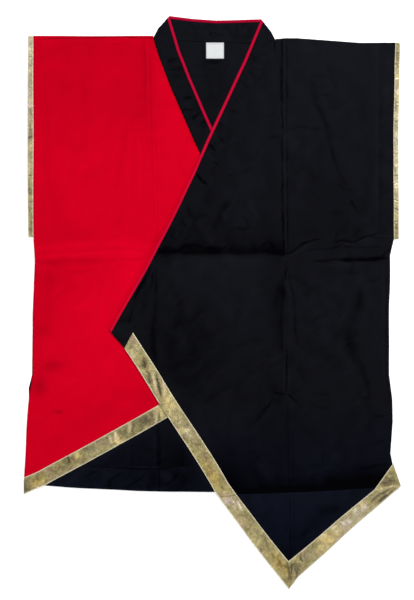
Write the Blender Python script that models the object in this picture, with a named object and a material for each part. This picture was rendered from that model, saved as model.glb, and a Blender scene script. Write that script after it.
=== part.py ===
"""A sleeveless happi coat, laid flat with its front up and its left front over the right one.

Every piece is drawn in garment coordinates: X from the centre back towards the wearer's left,
Y up from the shoulder line, Z up from the surface that the coat lies on. A piece is a flat
outline, cut along the lines where the cloth below it ends or a fold runs, lifted onto what it
lies on and given its thickness. All pieces hang on one empty, which puts the origin under the
middle of the coat.
"""

from collections import namedtuple

import bmesh
import bpy
from mathutils import Vector

# Cloth
CLOTH = 0.001  # thickness of one layer of cloth
BAND = 0.002  # thickness of the folded collar band and its piping
GAP = 0.0003  # kept between pieces, side by side or one on the other
SNAP = 0.00002  # points closer than this are one point
MARGIN = 0.001  # how far a raised stretch reaches past the edge below it

# Body
SHOULDER_RIGHT = 0.0036  # height of the right shoulder seam
SHOULDER_LEFT_NECK = -0.0023  # the left one slopes down a little to the cuff
SHOULDER_LEFT_CUFF = -0.0090
ARMHOLE_RIGHT_END = -0.3582
ARMHOLE_LEFT_END = -0.3615
BACK_LENGTH = 0.803  # shoulder line to the back hem, at the sides
BACK_HEM_SAG = 0.014  # how much lower the back hem is at the middle
BACK_HEM_SPAN = 0.333  # half the width of the back hem
BACK_HEM_STEPS = 10
TURN_UP = 0.045  # hem turned up on the inside of the back

# Collar
COLLAR_WIDTH = 0.039
PIPING = 0.005

# Gold bands on the slanting hems
HEM_BAND = 0.0275

# Label
LABEL_WIDTH = 0.032
LABEL_HEIGHT = 0.029
LABEL_TOP = -0.0085

# Slopes where an upper layer comes down from a lower one's edge
RAMP = 0.012

# Construction lines
FAR = 2.0  # well outside the coat
RUN_ON = 4.0  # a cut runs on past its table to this many times its own length

Row = namedtuple("Row", "y x")
Cuff = namedtuple("Cuff", "y seam width")
Point = namedtuple("Point", "x y")
Fold = namedtuple("Fold", "start end half_width height fade_in fade_out")
Raise = namedtuple("Raise", "level drop ramp sides")
Finish = namedtuple("Finish", "colour roughness metallic")

# Side edges, a row per section: height, reach from the centre
RIGHT_SIDE = [
    Row(-0.364, -0.3276),
    Row(-0.400, -0.3258),
    Row(-0.500, -0.3290),
    Row(-0.606, -0.3290),
    Row(-0.645, -0.3350),
    Row(-0.700, -0.3400),
    Row(-0.780, -0.3440),
]
LEFT_SIDE = [
    Row(-0.366, 0.3200),
    Row(-0.392, 0.3130),
    Row(-0.480, 0.3114),
    Row(-0.606, 0.3114),
    Row(-0.650, 0.3175),
    Row(-0.690, 0.3186),
    Row(-0.748, 0.3150),
    Row(-0.7686, 0.3193),
]
BACK_RIGHT_SIDE = [
    Row(-0.364, -0.3260),
    Row(-0.400, -0.3240),
    Row(-0.500, -0.3275),
    Row(-0.606, -0.3300),
    Row(-0.630, -0.3360),
    Row(-0.665, -0.3350),
]
BACK_LEFT_SIDE = [
    Row(-0.366, 0.3185),
    Row(-0.392, 0.3115),
    Row(-0.480, 0.3100),
    Row(-0.606, 0.3100),
    Row(-0.690, 0.3150),
]
# Armhole seams, where the cuff bands start, and the width of the bands
RIGHT_ARMHOLE = [
    Cuff(SHOULDER_RIGHT, -0.3276, 0.0090),
    Cuff(-0.180, -0.3268, 0.0107),
    Cuff(ARMHOLE_RIGHT_END, -0.3276, 0.0090),
]
LEFT_ARMHOLE = [
    Cuff(SHOULDER_LEFT_CUFF, 0.3235, 0.0090),
    Cuff(-0.180, 0.3205, 0.0090),
    Cuff(ARMHOLE_LEFT_END, 0.3215, 0.0090),
]
# Left shoulder seam, from the cuff to the neck
LEFT_SHOULDER = [
    Point(0.2610, -0.0090),
    Point(0.1890, -0.0036),
    Point(0.1476, -0.0006),
    Point(0.1260, -0.0006),
]
# Free edges of the collar, outside the piping, from the shoulder to a little past the end
RIGHT_COLLAR_EDGE = [
    Row(0.0396, -0.0808),
    Row(-0.0216, -0.0641),
    Row(-0.0684, -0.0463),
    Row(-0.1260, -0.0229),
    Row(-0.1674, -0.0048),
    Row(-0.5580, 0.1743),
]
LEFT_COLLAR_EDGE = [
    Row(0.0337, 0.0806),
    Row(-0.0406, 0.0517),
    Row(-0.1270, 0.0121),
    Row(-0.2423, -0.0400),
    Row(-0.3864, -0.1120),
    Row(-0.5504, -0.2010),
]
# Where the collar turns from the back to the front over the shoulder
RIGHT_COLLAR_FOLD = [
    Point(-0.0808, 0.0396),
    Point(-0.0870, 0.0322),
    Point(-0.1020, 0.0167),
    Point(-0.1098, 0.0011),
]
LEFT_COLLAR_FOLD = [
    Point(0.0806, 0.0337),
    Point(0.0864, 0.0265),
    Point(0.0992, 0.0108),
    Point(0.1076, -0.0047),
]
# Back neck seam, between the neck points
BACK_NECK = [
    Point(-0.1098, 0.0011),
    Point(-0.0648, -0.0050),
    Point(0.0000, -0.0080),
    Point(0.0620, -0.0100),
    Point(0.1076, -0.0047),
]
# Free edge of the back collar, outside its piping
BACK_COLLAR_TOP = [
    Point(-0.0808, 0.0396),
    Point(-0.0400, 0.0342),
    Point(0.0020, 0.0312),
    Point(0.0420, 0.0318),
    Point(0.0806, 0.0337),
]
# Slanting hems, outer edges
RIGHT_HEM = [
    Point(-0.3449, -0.8208),
    Point(-0.3060, -0.8042),
    Point(0.1638, -0.5400),
]
LEFT_LONG_HEM = [
    Point(-0.1872, -0.5274),
    Point(-0.1630, -0.5560),
    Point(0.0000, -0.8172),
    Point(0.1337, -0.9904),
]
LEFT_SHORT_HEM = [
    Point(0.1337, -0.9904),
    Point(0.1494, -0.9677),
    Point(0.2520, -0.8748),
    Point(0.3325, -0.8051),
]
# Upper edge of the short band, from the inner tip to the side
SHORT_BAND_TOP = [
    Point(0.1336, -0.9418),
    Point(0.2871, -0.8129),
    Point(0.3193, -0.7686),
]
MITRE = [Point(0.1336, -0.9418), Point(0.1405, -0.9775)]
# Crease across the left front where it comes down off the back's hem
STEP_LINE = [Point(0.0396, -0.8208), Point(0.2934, -0.8082)]
STEP_TO_TURN_UP = 0.052
# How far in from the corner the red front lies on the back's hem
RED_ON_HEM_END = -0.240

# Main pressed folds, standing up as low ridges
RIGHT_FRONT_FOLDS = [
    Fold(Point(-0.1206, 0.0036), Point(-0.1115, -0.340), 0.006, 0.0012, 0.0, 0.040),
    Fold(Point(-0.3300, -0.3960), Point(-0.1350, -0.3950), 0.006, 0.0012, 0.0, 0.030),
]
LEFT_FRONT_FOLDS = [
    Fold(Point(0.1242, -0.0010), Point(0.1242, -0.700), 0.007, 0.0015, 0.0, 0.060),
    Fold(Point(-0.0700, -0.3780), Point(0.3200, -0.3720), 0.010, 0.0015, 0.030, 0.0),
]

BLACK = Finish((0.008, 0.009, 0.013), 0.85, 0.0)
RED = Finish((0.55, 0.003, 0.012), 0.80, 0.0)
CRIMSON = Finish((0.50, 0.003, 0.030), 0.55, 0.0)
GOLD = Finish((0.42, 0.36, 0.17), 0.45, 0.6)
WHITE = Finish((0.80, 0.82, 0.84), 0.70, 0.0)


# Lines and outlines


def along(rows):
    """The rows of a table as points."""
    return [Point(row.x, row.y) for row in rows]


def between(a, b, share):
    """The point at a share of the way from a to b."""
    return Point(a.x + (b.x - a.x) * share, a.y + (b.y - a.y) * share)


def seam_of(armhole):
    """The points of an armhole seam, from the shoulder down."""
    return [Point(row.seam, row.y) for row in armhole]


def left_normal(a, b):
    """The unit normal on the left of the way from a to b."""
    step = Vector((b.x - a.x, b.y - a.y)).normalized()
    return Vector((-step.y, step.x))


def side_of(line, point):
    """How far a point is to the left of the line through two points."""
    a, b = line
    normal = left_normal(a, b)
    return (point.x - a.x) * normal.x + (point.y - a.y) * normal.y


def shifted(line, distance):
    """A straight line moved to its left."""
    a, b = line
    normal = left_normal(a, b) * distance
    return [Point(a.x + normal.x, a.y + normal.y), Point(b.x + normal.x, b.y + normal.y)]


def crossing(line, other):
    """Where two straight lines meet."""
    from_a = side_of(other, line[0])
    from_b = side_of(other, line[1])
    return between(line[0], line[1], from_a / (from_a - from_b))


def offset(points, distance):
    """A polyline moved to its left, with mitred corners."""
    runs = [shifted([a, b], distance) for a, b in zip(points, points[1:])]
    corners = [crossing(a, b) for a, b in zip(runs, runs[1:])]
    return [runs[0][0], *corners, runs[-1][1]]


def clipped(points, line):
    """The part of a polyline that is to the left of a straight line."""
    kept = []
    for a, b in zip(points, points[1:]):
        from_a = side_of(line, a)
        from_b = side_of(line, b)
        if from_a >= 0 and not kept:
            kept.append(a)
        if from_a * from_b < 0:
            kept.append(between(a, b, from_a / (from_a - from_b)))
        if from_b >= 0:
            kept.append(b)
    return kept


def below(y):
    """A level line that has what is below it on its left."""
    return [Point(FAR, y), Point(-FAR, y)]


def back_hem_y(x):
    """Height of the back hem, which hangs a little lower at the middle."""
    return -BACK_LENGTH - BACK_HEM_SAG * (1 - (x / BACK_HEM_SPAN) ** 2)


def back_hem_points(rise, start, end):
    """Points along the back hem, or along its turn-up at a rise above it."""
    steps = [start + (end - start) * i / BACK_HEM_STEPS for i in range(BACK_HEM_STEPS + 1)]
    return [Point(x, back_hem_y(x) + rise) for x in steps]


RIGHT_EDGE = along(RIGHT_COLLAR_EDGE)
LEFT_EDGE = along(LEFT_COLLAR_EDGE)
RIGHT_SEAM = offset(RIGHT_EDGE, -COLLAR_WIDTH)
LEFT_SEAM = offset(LEFT_EDGE, COLLAR_WIDTH)
RIGHT_COLLAR_END = [RIGHT_HEM[1], RIGHT_HEM[2]]
LEFT_COLLAR_END = LEFT_LONG_HEM[:2]
RIGHT_BAND_TOP = offset(RIGHT_HEM, HEM_BAND)
LEFT_BAND_TOP = offset(LEFT_LONG_HEM[1:], HEM_BAND)


# What lies below a layer


def above_back():
    """The back panel, down to a straight line just past its hem."""
    return Raise(CLOTH + GAP, CLOTH + GAP, RAMP, [STEP_LINE])


def above_turn_up():
    """The back's turned-up hem, below the left front."""
    top = shifted(STEP_LINE, STEP_TO_TURN_UP)
    level = 2 * (CLOTH + GAP)
    return Raise(level, level, RAMP, [STEP_LINE, top[::-1]])


def turn_up_top(start, end):
    """A straight line just above the turn-up between two places across."""
    return [
        Point(start, back_hem_y(start) + TURN_UP + MARGIN),
        Point(end, back_hem_y(end) + TURN_UP + MARGIN),
    ]


def right_corner_raises():
    """What the red front lies on: the back, and its turn-up near the lower corner."""
    corner = -BACK_HEM_SPAN - RAMP
    hem_end = Point(RED_ON_HEM_END, back_hem_y(RED_ON_HEM_END) - 2 * MARGIN)
    hem = [Point(corner, back_hem_y(corner) - MARGIN), hem_end]
    top = turn_up_top(corner, RED_ON_HEM_END)
    one = CLOTH + GAP
    return [
        Raise(one, one, RAMP / 2, [hem]),
        Raise(2 * one, 2 * one, RAMP / 2, [hem, top[::-1]]),
    ]


def back_collar_raise():
    """The back collar, below the top ends of the front collars."""
    low = min(p.y for p in BACK_NECK) - MARGIN
    right = RIGHT_COLLAR_FOLD[-1].x - MARGIN
    left = LEFT_COLLAR_FOLD[-1].x + MARGIN
    neck = [Point(right, low), Point(left, low)]
    right_end = [Point(right, FAR), Point(right, -FAR)]
    left_end = [Point(left, -FAR), Point(left, FAR)]
    return Raise(BAND + GAP, BAND - CLOTH, RAMP, [neck, right_end, left_end])


def left_front_raises():
    """What the left front and its collar lie on, up to four layers."""
    free_edge = shifted(RIGHT_EDGE[-2:], MARGIN)
    seam = shifted(RIGHT_SEAM[-2:], -MARGIN)
    band_end = shifted(RIGHT_SEAM[-2:], MARGIN)
    hem = shifted(RIGHT_HEM[1:], -MARGIN)
    band_top = shifted(RIGHT_BAND_TOP[1:], MARGIN)
    one = CLOTH + GAP
    collar_level = one + BAND + GAP
    band_level = 3 * one
    return [
        above_back(),
        above_turn_up(),
        back_collar_raise(),
        Raise(2 * one, one, RAMP, [free_edge[::-1], hem]),
        Raise(collar_level, collar_level - one, RAMP, [free_edge[::-1], seam, hem]),
        Raise(band_level, band_level - one, RAMP, [band_end[::-1], hem, band_top[::-1]]),
    ]


def lift(point, raises):
    """Height of a layer's underside: the highest of what lies below, with its ramps."""
    best = 0.0
    for region in raises:
        outside = max(-side_of(line, point) for line in region.sides)
        if outside < region.ramp + SNAP:
            best = max(best, region.level - region.drop * max(outside, 0.0) / region.ramp)
    return best


def ridge(point, fold):
    """Height of a pressed fold: a low tent that fades at its ends."""
    line = [fold.start, fold.end]
    length = (Vector(fold.end) - Vector(fold.start)).length
    across = abs(side_of(line, point))
    step = (Vector(fold.end) - Vector(fold.start)) / length
    far = (Vector(point) - Vector(fold.start)).dot(step)
    share = max(0.0, 1 - across / fold.half_width)
    if fold.fade_in:
        share *= min(1.0, max(0.0, far / fold.fade_in))
    if fold.fade_out:
        share *= min(1.0, max(0.0, (length - far) / fold.fade_out))
    return fold.height * share


# Flat patterns


def pattern(points):
    """A flat pattern piece with one face."""
    flat = bmesh.new()
    flat.faces.new([flat.verts.new((p.x, p.y, 0.0)) for p in points])
    flat.normal_update()
    if flat.faces[:][0].normal.z < 0:
        bmesh.ops.reverse_faces(flat, faces=flat.faces[:])
    return flat


def crease(flat, line, inside=None):
    """Cuts a pattern along a straight line, only its faces inside an outline if one is given."""
    a, b = line
    normal = left_normal(a, b)
    faces = flat.faces[:]
    if inside:
        faces = [f for f in faces if holds(inside, f.calc_center_median())]
    edges = {e for f in faces for e in f.edges}
    verts = {v for f in faces for v in f.verts}
    bmesh.ops.bisect_plane(
        flat,
        geom=[*faces, *edges, *verts],
        dist=SNAP,
        plane_co=(a.x, a.y, 0.0),
        plane_no=(normal.x, normal.y, 0.0),
    )


def trim(flat, line):
    """Cuts away what is to the right of a straight line."""
    a, b = line
    normal = left_normal(a, b)
    bmesh.ops.bisect_plane(
        flat,
        geom=[*flat.faces, *flat.edges, *flat.verts],
        dist=SNAP,
        plane_co=(a.x, a.y, 0.0),
        plane_no=(normal.x, normal.y, 0.0),
        clear_inner=True,
    )


def holds(outline, point):
    """Whether an outline goes round a point."""
    inside = False
    for a, b in zip(outline, [*outline[1:], outline[0]]):
        if (a.y > point.y) != (b.y > point.y):
            if point.x < a.x + (b.x - a.x) * (point.y - a.y) / (b.y - a.y):
                inside = not inside
    return inside


def crease_for(flat, raises, folds):
    """Cuts a pattern along every line where its height changes slope."""
    for region in raises:
        for line in region.sides:
            crease(flat, line)
            crease(flat, shifted(line, -region.ramp))
    for fold in folds:
        line = [fold.start, fold.end]
        for distance in (-fold.half_width, 0.0, fold.half_width):
            crease(flat, shifted(line, distance))
        normal = left_normal(*line)
        step = Vector((normal.y, -normal.x))
        ends = []
        if fold.fade_in:
            ends += [(fold.start, 0.0), (fold.start, fold.fade_in)]
        if fold.fade_out:
            ends += [(fold.end, 0.0), (fold.end, -fold.fade_out)]
        for end, far in ends:
            at = Point(end.x + step.x * far, end.y + step.y * far)
            crease(flat, [at, Point(at.x + normal.x, at.y + normal.y)])


def raise_pattern(flat, raises, folds):
    """Triangulates a flat pattern and lifts its points to the underside of the layer."""
    bmesh.ops.remove_doubles(flat, verts=flat.verts[:], dist=2 * SNAP)
    bmesh.ops.triangulate(flat, faces=flat.faces[:])
    for vert in flat.verts:
        point = Point(vert.co.x, vert.co.y)
        height = lift(point, raises)
        vert.co.z = height + sum(ridge(point, fold) for fold in folds)


def piece_of(flat, outline, up):
    """A copy of the part of a raised pattern inside an outline, moved up."""
    part = flat.copy()
    loose = [f for f in part.faces if not holds(outline, f.calc_center_median())]
    bmesh.ops.delete(part, geom=loose, context="FACES")
    bmesh.ops.translate(part, verts=part.verts[:], vec=(0.0, 0.0, up))
    return part


def drawn_back(part, line, distance):
    """Moves the edge of a part that lies on a line to the left of it, to leave a seam's gap."""
    normal = left_normal(*line)
    for vert in part.verts:
        if abs(side_of(line, Point(vert.co.x, vert.co.y))) < 2 * SNAP:
            vert.co.x += normal.x * distance
            vert.co.y += normal.y * distance


# Objects


def material(name, finish):
    shade = bpy.data.materials.new(name)
    shade.use_nodes = True
    shader = shade.node_tree.nodes["Principled BSDF"]
    shader.inputs["Base Color"].default_value = (*finish.colour, 1.0)
    shader.inputs["Roughness"].default_value = finish.roughness
    shader.inputs["Metallic"].default_value = finish.metallic
    return shade


def solid(name, flat, thickness, finish, holder):
    """Gives a raised pattern its thickness and makes it an object on the holder."""
    under = {vert: flat.verts.new(vert.co) for vert in flat.verts[:]}
    faces = flat.faces[:]
    rim = [edge for edge in flat.edges if len(edge.link_faces) == 1]
    sides = [(loop.vert, loop.link_loop_next.vert) for e in rim for loop in e.link_loops]
    for face in faces:
        flat.faces.new([under[v] for v in reversed(face.verts[:])])
    for a, b in sides:
        flat.faces.new([b, a, under[a], under[b]])
    for vert in under:
        vert.co.z += thickness
    bmesh.ops.recalc_face_normals(flat, faces=flat.faces[:])
    mesh = bpy.data.meshes.new(name)
    flat.to_mesh(mesh)
    flat.free()
    mesh.materials.append(material(name, finish))
    thing = bpy.data.objects.new(name, mesh)
    thing.parent = holder
    bpy.context.scene.collection.objects.link(thing)
    return thing


# Pieces


def make_back(holder):
    """The back panel: one layer, flat on the surface."""
    outline = [
        *[Point(p.x, p.y - GAP) for p in BACK_NECK],
        *LEFT_SHOULDER[::-1],
        *[Point(p.x - GAP, p.y) for p in seam_of(LEFT_ARMHOLE)],
        *along(BACK_LEFT_SIDE),
        *back_hem_points(0.0, BACK_LEFT_SIDE[-1].x, -BACK_HEM_SPAN),
        *along(BACK_RIGHT_SIDE[::-1]),
        *[Point(p.x + GAP, p.y) for p in seam_of(RIGHT_ARMHOLE[::-1])],
    ]
    flat = pattern(outline)
    raise_pattern(flat, [], [])
    solid("back", flat, CLOTH, BLACK, holder)


def make_back_hem(holder):
    """The back's hem, turned up on the inside."""
    left = BACK_LEFT_SIDE[-1].x
    lower = back_hem_points(0.0, left, -BACK_HEM_SPAN)
    upper = back_hem_points(TURN_UP, -BACK_HEM_SPAN, left)
    flat = pattern([*lower, *upper])
    raise_pattern(flat, [], [])
    bmesh.ops.translate(flat, verts=flat.verts[:], vec=(0.0, 0.0, CLOTH + GAP))
    solid("back_hem", flat, CLOTH, BLACK, holder)


def make_label(holder):
    half = LABEL_WIDTH / 2
    low = LABEL_TOP - LABEL_HEIGHT
    corners = [Point(-half, low), Point(half, low), Point(half, LABEL_TOP), Point(-half, LABEL_TOP)]
    flat = pattern(corners)
    raise_pattern(flat, [], [])
    bmesh.ops.translate(flat, verts=flat.verts[:], vec=(0.0, 0.0, CLOTH + GAP))
    solid("label", flat, CLOTH, WHITE, holder)


def make_collar_back(holder):
    """The collar band and its piping round the back neck, inside face up."""
    piping = pattern([*BACK_COLLAR_TOP, *offset(BACK_COLLAR_TOP, -PIPING)[::-1]])
    outline = [
        *offset(BACK_COLLAR_TOP, -PIPING - GAP),
        *LEFT_COLLAR_FOLD[1:],
        *BACK_NECK[-2:0:-1],
        *RIGHT_COLLAR_FOLD[:0:-1],
    ]
    band = pattern(outline)
    for flat in (band, piping):
        raise_pattern(flat, [], [])
    solid("collar_back", band, BAND, BLACK, holder)
    solid("piping_back", piping, BAND, CRIMSON, holder)


def make_front_collar(side, edge, turn, fold, end, raises, holder):
    """One front's collar band and piping; turn is the side of the free edge that it lies on."""
    strips = {
        f"collar_{side}": (PIPING + GAP, COLLAR_WIDTH - GAP, BLACK),
        f"piping_{side}": (0.0, PIPING, CRIMSON),
    }
    for name, (near, far, finish) in strips.items():
        outer = offset(edge, turn * far)
        inner = offset(edge, turn * near) if near else edge
        flat = pattern([*inner, *outer[::-1]])
        for a, b in zip(fold, fold[1:]):
            trim(flat, [b, a] if turn > 0 else [a, b])
        trim(flat, end)
        crease_for(flat, raises, [])
        raise_pattern(flat, raises, [])
        solid(name, flat, BAND, finish, holder)


def make_cuffs(side, armhole, turn, holder):
    """The gold bands on one armhole, one below on the back's edge and one on the front's."""
    seam = seam_of(armhole)
    outer = [Point(row.seam + turn * row.width, row.y) for row in armhole]
    for name, height in ((f"cuff_{side}_back", 0.0), (f"cuff_{side}_front", CLOTH + GAP)):
        flat = pattern([*seam, *outer[::-1]])
        raise_pattern(flat, [], [])
        bmesh.ops.translate(flat, verts=flat.verts[:], vec=(0.0, 0.0, height))
        solid(name, flat, CLOTH, GOLD, holder)


def make_right_front(holder):
    """The red front and the gold band on its hem, both going on below the left front."""
    raises = right_corner_raises()
    seam = clipped(RIGHT_SEAM, below(RIGHT_COLLAR_FOLD[-1].y))
    seam = clipped(seam, RIGHT_COLLAR_END)
    outline = [
        Point(seam[0].x - GAP, SHOULDER_RIGHT),
        *seam,
        RIGHT_HEM[1],
        RIGHT_HEM[0],
        *along(RIGHT_SIDE[::-1]),
        *[Point(p.x + GAP, p.y) for p in seam_of(RIGHT_ARMHOLE[::-1])],
    ]
    flat = pattern(outline)
    crease_for(flat, raises, RIGHT_FRONT_FOLDS)
    for a, b in zip(RIGHT_BAND_TOP, RIGHT_BAND_TOP[1:]):
        crease(flat, [a, b])
    raise_pattern(flat, raises, RIGHT_FRONT_FOLDS)
    band_outline = [
        Point(-FAR, RIGHT_BAND_TOP[0].y),
        *RIGHT_BAND_TOP,
        Point(FAR, RIGHT_BAND_TOP[-1].y),
        Point(FAR, -FAR),
        Point(-FAR, -FAR),
    ]
    band = piece_of(flat, band_outline, CLOTH + GAP)
    solid("right_front", flat, CLOTH, RED, holder)
    solid("hem_band_right", band, CLOTH, GOLD, holder)


def make_left_front(holder):
    """The black front on top, cut to a point, and the two gold bands that meet there."""
    raises = left_front_raises()
    seam = clipped(LEFT_SEAM, below(LEFT_COLLAR_FOLD[-1].y))
    seam = clipped(seam, LEFT_COLLAR_END)
    outline = [
        *LEFT_SHOULDER,
        Point(seam[0].x + GAP, SHOULDER_LEFT_NECK),
        *seam,
        *LEFT_LONG_HEM[2:],
        *LEFT_SHORT_HEM[1:],
        *along(LEFT_SIDE[::-1]),
        *[Point(p.x - GAP, p.y) for p in seam_of(LEFT_ARMHOLE[::-1])],
    ]
    flat = pattern(outline)
    crease_for(flat, raises, LEFT_FRONT_FOLDS)
    inner_tip = SHORT_BAND_TOP[0]
    long_top = [*LEFT_BAND_TOP[:2], inner_tip]
    for a, b in [*zip(long_top, long_top[1:]), *zip(SHORT_BAND_TOP, SHORT_BAND_TOP[1:])]:
        crease(flat, [a, b])
    right_of_all = Point(-FAR, -FAR)
    left_of_all = Point(FAR, -FAR)
    both_bands = [*SHORT_BAND_TOP, left_of_all, right_of_all, long_top[1]]
    crease(flat, MITRE, both_bands)
    raise_pattern(flat, raises, LEFT_FRONT_FOLDS)
    start = between(long_top[1], long_top[0], RUN_ON)
    toe = between(*MITRE, RUN_ON)
    long_outline = [start, *long_top[1:], toe, right_of_all]
    short_outline = [*SHORT_BAND_TOP, Point(FAR, SHORT_BAND_TOP[-1].y), left_of_all, toe]
    for name, outline, turn in (
        ("hem_band_left_long", long_outline, -1),
        ("hem_band_left_short", short_outline, 1),
    ):
        band = piece_of(flat, outline, CLOTH + GAP)
        drawn_back(band, MITRE, turn * GAP / 2)
        solid(name, band, CLOTH, GOLD, holder)
    solid("left_front", flat, CLOTH, BLACK, holder)


def stand_on_origin(holder):
    """Moves the holder so that the origin is under the middle of the coat's box."""
    corners = [v.co for child in holder.children for v in child.data.vertices]
    for axis in (0, 1):
        low = min(c[axis] for c in corners)
        high = max(c[axis] for c in corners)
        holder.location[axis] = -(low + high) / 2


def main():
    for thing in list(bpy.data.objects):
        bpy.data.objects.remove(thing)
    holder = bpy.data.objects.new("garment", None)
    bpy.context.scene.collection.objects.link(holder)
    make_back(holder)
    make_back_hem(holder)
    make_label(holder)
    make_collar_back(holder)
    make_cuffs("right", RIGHT_ARMHOLE, -1, holder)
    make_cuffs("left", LEFT_ARMHOLE, 1, holder)
    right_raises = [above_back(), back_collar_raise()]
    make_front_collar(
        "right", RIGHT_EDGE, -1, RIGHT_COLLAR_FOLD, RIGHT_COLLAR_END, right_raises, holder
    )
    left_raises = left_front_raises()
    make_front_collar(
        "left", LEFT_EDGE, 1, LEFT_COLLAR_FOLD, LEFT_COLLAR_END, left_raises, holder
    )
    make_right_front(holder)
    make_left_front(holder)
    stand_on_origin(holder)


main()
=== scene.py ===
import math

import bmesh
import bpy
import numpy as np
from mathutils import Matrix, Vector
from mathutils.bvhtree import BVHTree
from mathutils.geometry import delaunay_2d_cdt


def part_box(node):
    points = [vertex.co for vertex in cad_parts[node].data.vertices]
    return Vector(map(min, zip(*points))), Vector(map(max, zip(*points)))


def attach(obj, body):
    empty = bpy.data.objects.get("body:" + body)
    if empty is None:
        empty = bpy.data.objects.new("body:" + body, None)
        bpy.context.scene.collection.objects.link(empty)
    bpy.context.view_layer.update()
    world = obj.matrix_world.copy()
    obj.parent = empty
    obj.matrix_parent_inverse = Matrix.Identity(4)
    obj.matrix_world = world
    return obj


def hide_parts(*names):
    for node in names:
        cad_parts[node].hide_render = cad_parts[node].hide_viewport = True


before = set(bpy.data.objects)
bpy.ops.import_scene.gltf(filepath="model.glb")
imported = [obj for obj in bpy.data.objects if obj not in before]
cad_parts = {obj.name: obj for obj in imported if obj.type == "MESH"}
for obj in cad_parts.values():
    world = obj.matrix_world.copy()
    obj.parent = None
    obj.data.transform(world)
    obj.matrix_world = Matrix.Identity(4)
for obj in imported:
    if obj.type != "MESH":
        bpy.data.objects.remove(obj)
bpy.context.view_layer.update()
bpy.ops.object.select_all(action="DESELECT")
bpy.context.scene.view_settings.view_transform = "Standard"

# All sizes below are in millimetres. A place on the coat is (x, down): x from the centre back
# towards the wearer's left, down from the shoulder line.
mm = 0.001
labelDrop = 8.5  # the neck label starts this far below the shoulder line
labelLow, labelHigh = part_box("label")
coatX = (labelLow.x + labelHigh.x) / 2
coatY = labelHigh.y + labelDrop * mm


# camera, light and floor

view = {
    "centre": (-14.4, 471.6),  # place on the coat below the lens
    "tall": 1080.0,  # what the picture takes in from top to bottom
    "height": 4000.0,
    "sensor": 36.0,
    "farthest": 50,  # metres
}
studio = {
    "world": (0.98, 0.99, 1.0),
    "worldStrength": 0.47,
    "keyPlace": (0.85, 2.0, 1.9),
    "keySize": 1.3,
    "keyPower": 80.0,
    "fillPlace": (-1.3, -1.9, 2.3),
    "fillSize": 2.4,
    "fillPower": 40.0,
    "floorSize": 14.0,
    "floorDrop": 0.3,  # below the coat's underside
    "floorRoughness": 0.9,
    "floorShine": 0.1,
    "floorColour": (0.95, 0.95, 0.95, 1.0),
    "floorGlow": 0.35,  # a lit table, so that shadows on it stay faint
}


def worldPlace(x, downBy, height=0.0):
    return Vector((coatX + x * mm, coatY - downBy * mm, height * mm))


def addLight(name, place, size, power):
    bpy.ops.object.light_add(type="AREA", location=place)
    light = bpy.context.object
    light.name = name
    light.data.shape = "DISK"
    light.data.size = size
    light.data.energy = power
    light.rotation_euler = Vector(place).to_track_quat("Z", "Y").to_euler()


def makeStudio():
    place = worldPlace(*view["centre"], view["height"])
    bpy.ops.object.camera_add(location=place, rotation=(0, 0, 0))
    camera = bpy.context.object
    camera.data.sensor_width = view["sensor"]
    camera.data.lens = view["sensor"] * view["height"] / view["tall"]
    camera.data.clip_end = view["farthest"]
    bpy.context.scene.camera = camera
    addLight("keyLight", studio["keyPlace"], studio["keySize"], studio["keyPower"])
    addLight("fillLight", studio["fillPlace"], studio["fillSize"], studio["fillPower"])
    world = bpy.data.worlds.new("studioWorld")
    world.use_nodes = True
    background = world.node_tree.nodes["Background"]
    background.inputs["Color"].default_value = (*studio["world"], 1.0)
    background.inputs["Strength"].default_value = studio["worldStrength"]
    bpy.context.scene.world = world
    bpy.ops.mesh.primitive_plane_add(size=studio["floorSize"],
                                     location=(0, 0, -studio["floorDrop"] * mm))
    floor = bpy.context.object
    floor.name = "floor"
    bpy.ops.object.transform_apply(location=True)
    paint = bpy.data.materials.new("floorPaint")
    paint.use_nodes = True
    shader = paint.node_tree.nodes["Principled BSDF"]
    shader.inputs["Base Color"].default_value = studio["floorColour"]
    shader.inputs["Roughness"].default_value = studio["floorRoughness"]
    shader.inputs["Specular IOR Level"].default_value = studio["floorShine"]
    shader.inputs["Emission Color"].default_value = studio["floorColour"]
    shader.inputs["Emission Strength"].default_value = studio["floorGlow"]
    floor.data.materials.append(paint)
    bpy.ops.object.select_all(action="DESELECT")
    print("studio ready")


makeStudio()


# materials

nodeGap = 180  # between nodes in the editor


def fillSockets(tree, node, inputs):
    # a socket is linked, anything else is a value
    for name, value in inputs.items():
        if isinstance(value, bpy.types.NodeSocket):
            tree.links.new(value, node.inputs[name])
        else:
            node.inputs[name].default_value = value


def addNode(tree, kind, inputs=None, **settings):
    node = tree.nodes.new("ShaderNode" + kind)
    node.location = (len(tree.nodes) * nodeGap, 0)
    for name, value in settings.items():
        setattr(node, name, value)
    fillSockets(tree, node, inputs or {})
    return node


def calculate(tree, operation, a, b, clamp=False):
    return addNode(tree, "Math", {0: a, 1: b}, operation=operation, use_clamp=clamp).outputs[0]


def mixColours(tree, share, a, b, blend="MIX"):
    node = addNode(tree, "Mix", {0: share, 6: a, 7: b}, data_type="RGBA", blend_type=blend)
    return node.outputs[2]


def noise(tree, place, scale, detail, roughness=0.5, distortion=0.0, kind="FBM"):
    inputs = {"Vector": place, "Scale": scale, "Detail": detail, "Roughness": roughness,
              "Distortion": distortion}
    return addNode(tree, "TexNoise", inputs, noise_type=kind).outputs


def spread(tree, value, low, high, newLow=0.0, newHigh=1.0):
    node = addNode(tree, "MapRange", {"Value": value, "From Min": low, "From Max": high,
                                      "To Min": newLow, "To Max": newHigh})
    return node.outputs["Result"]


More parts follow.
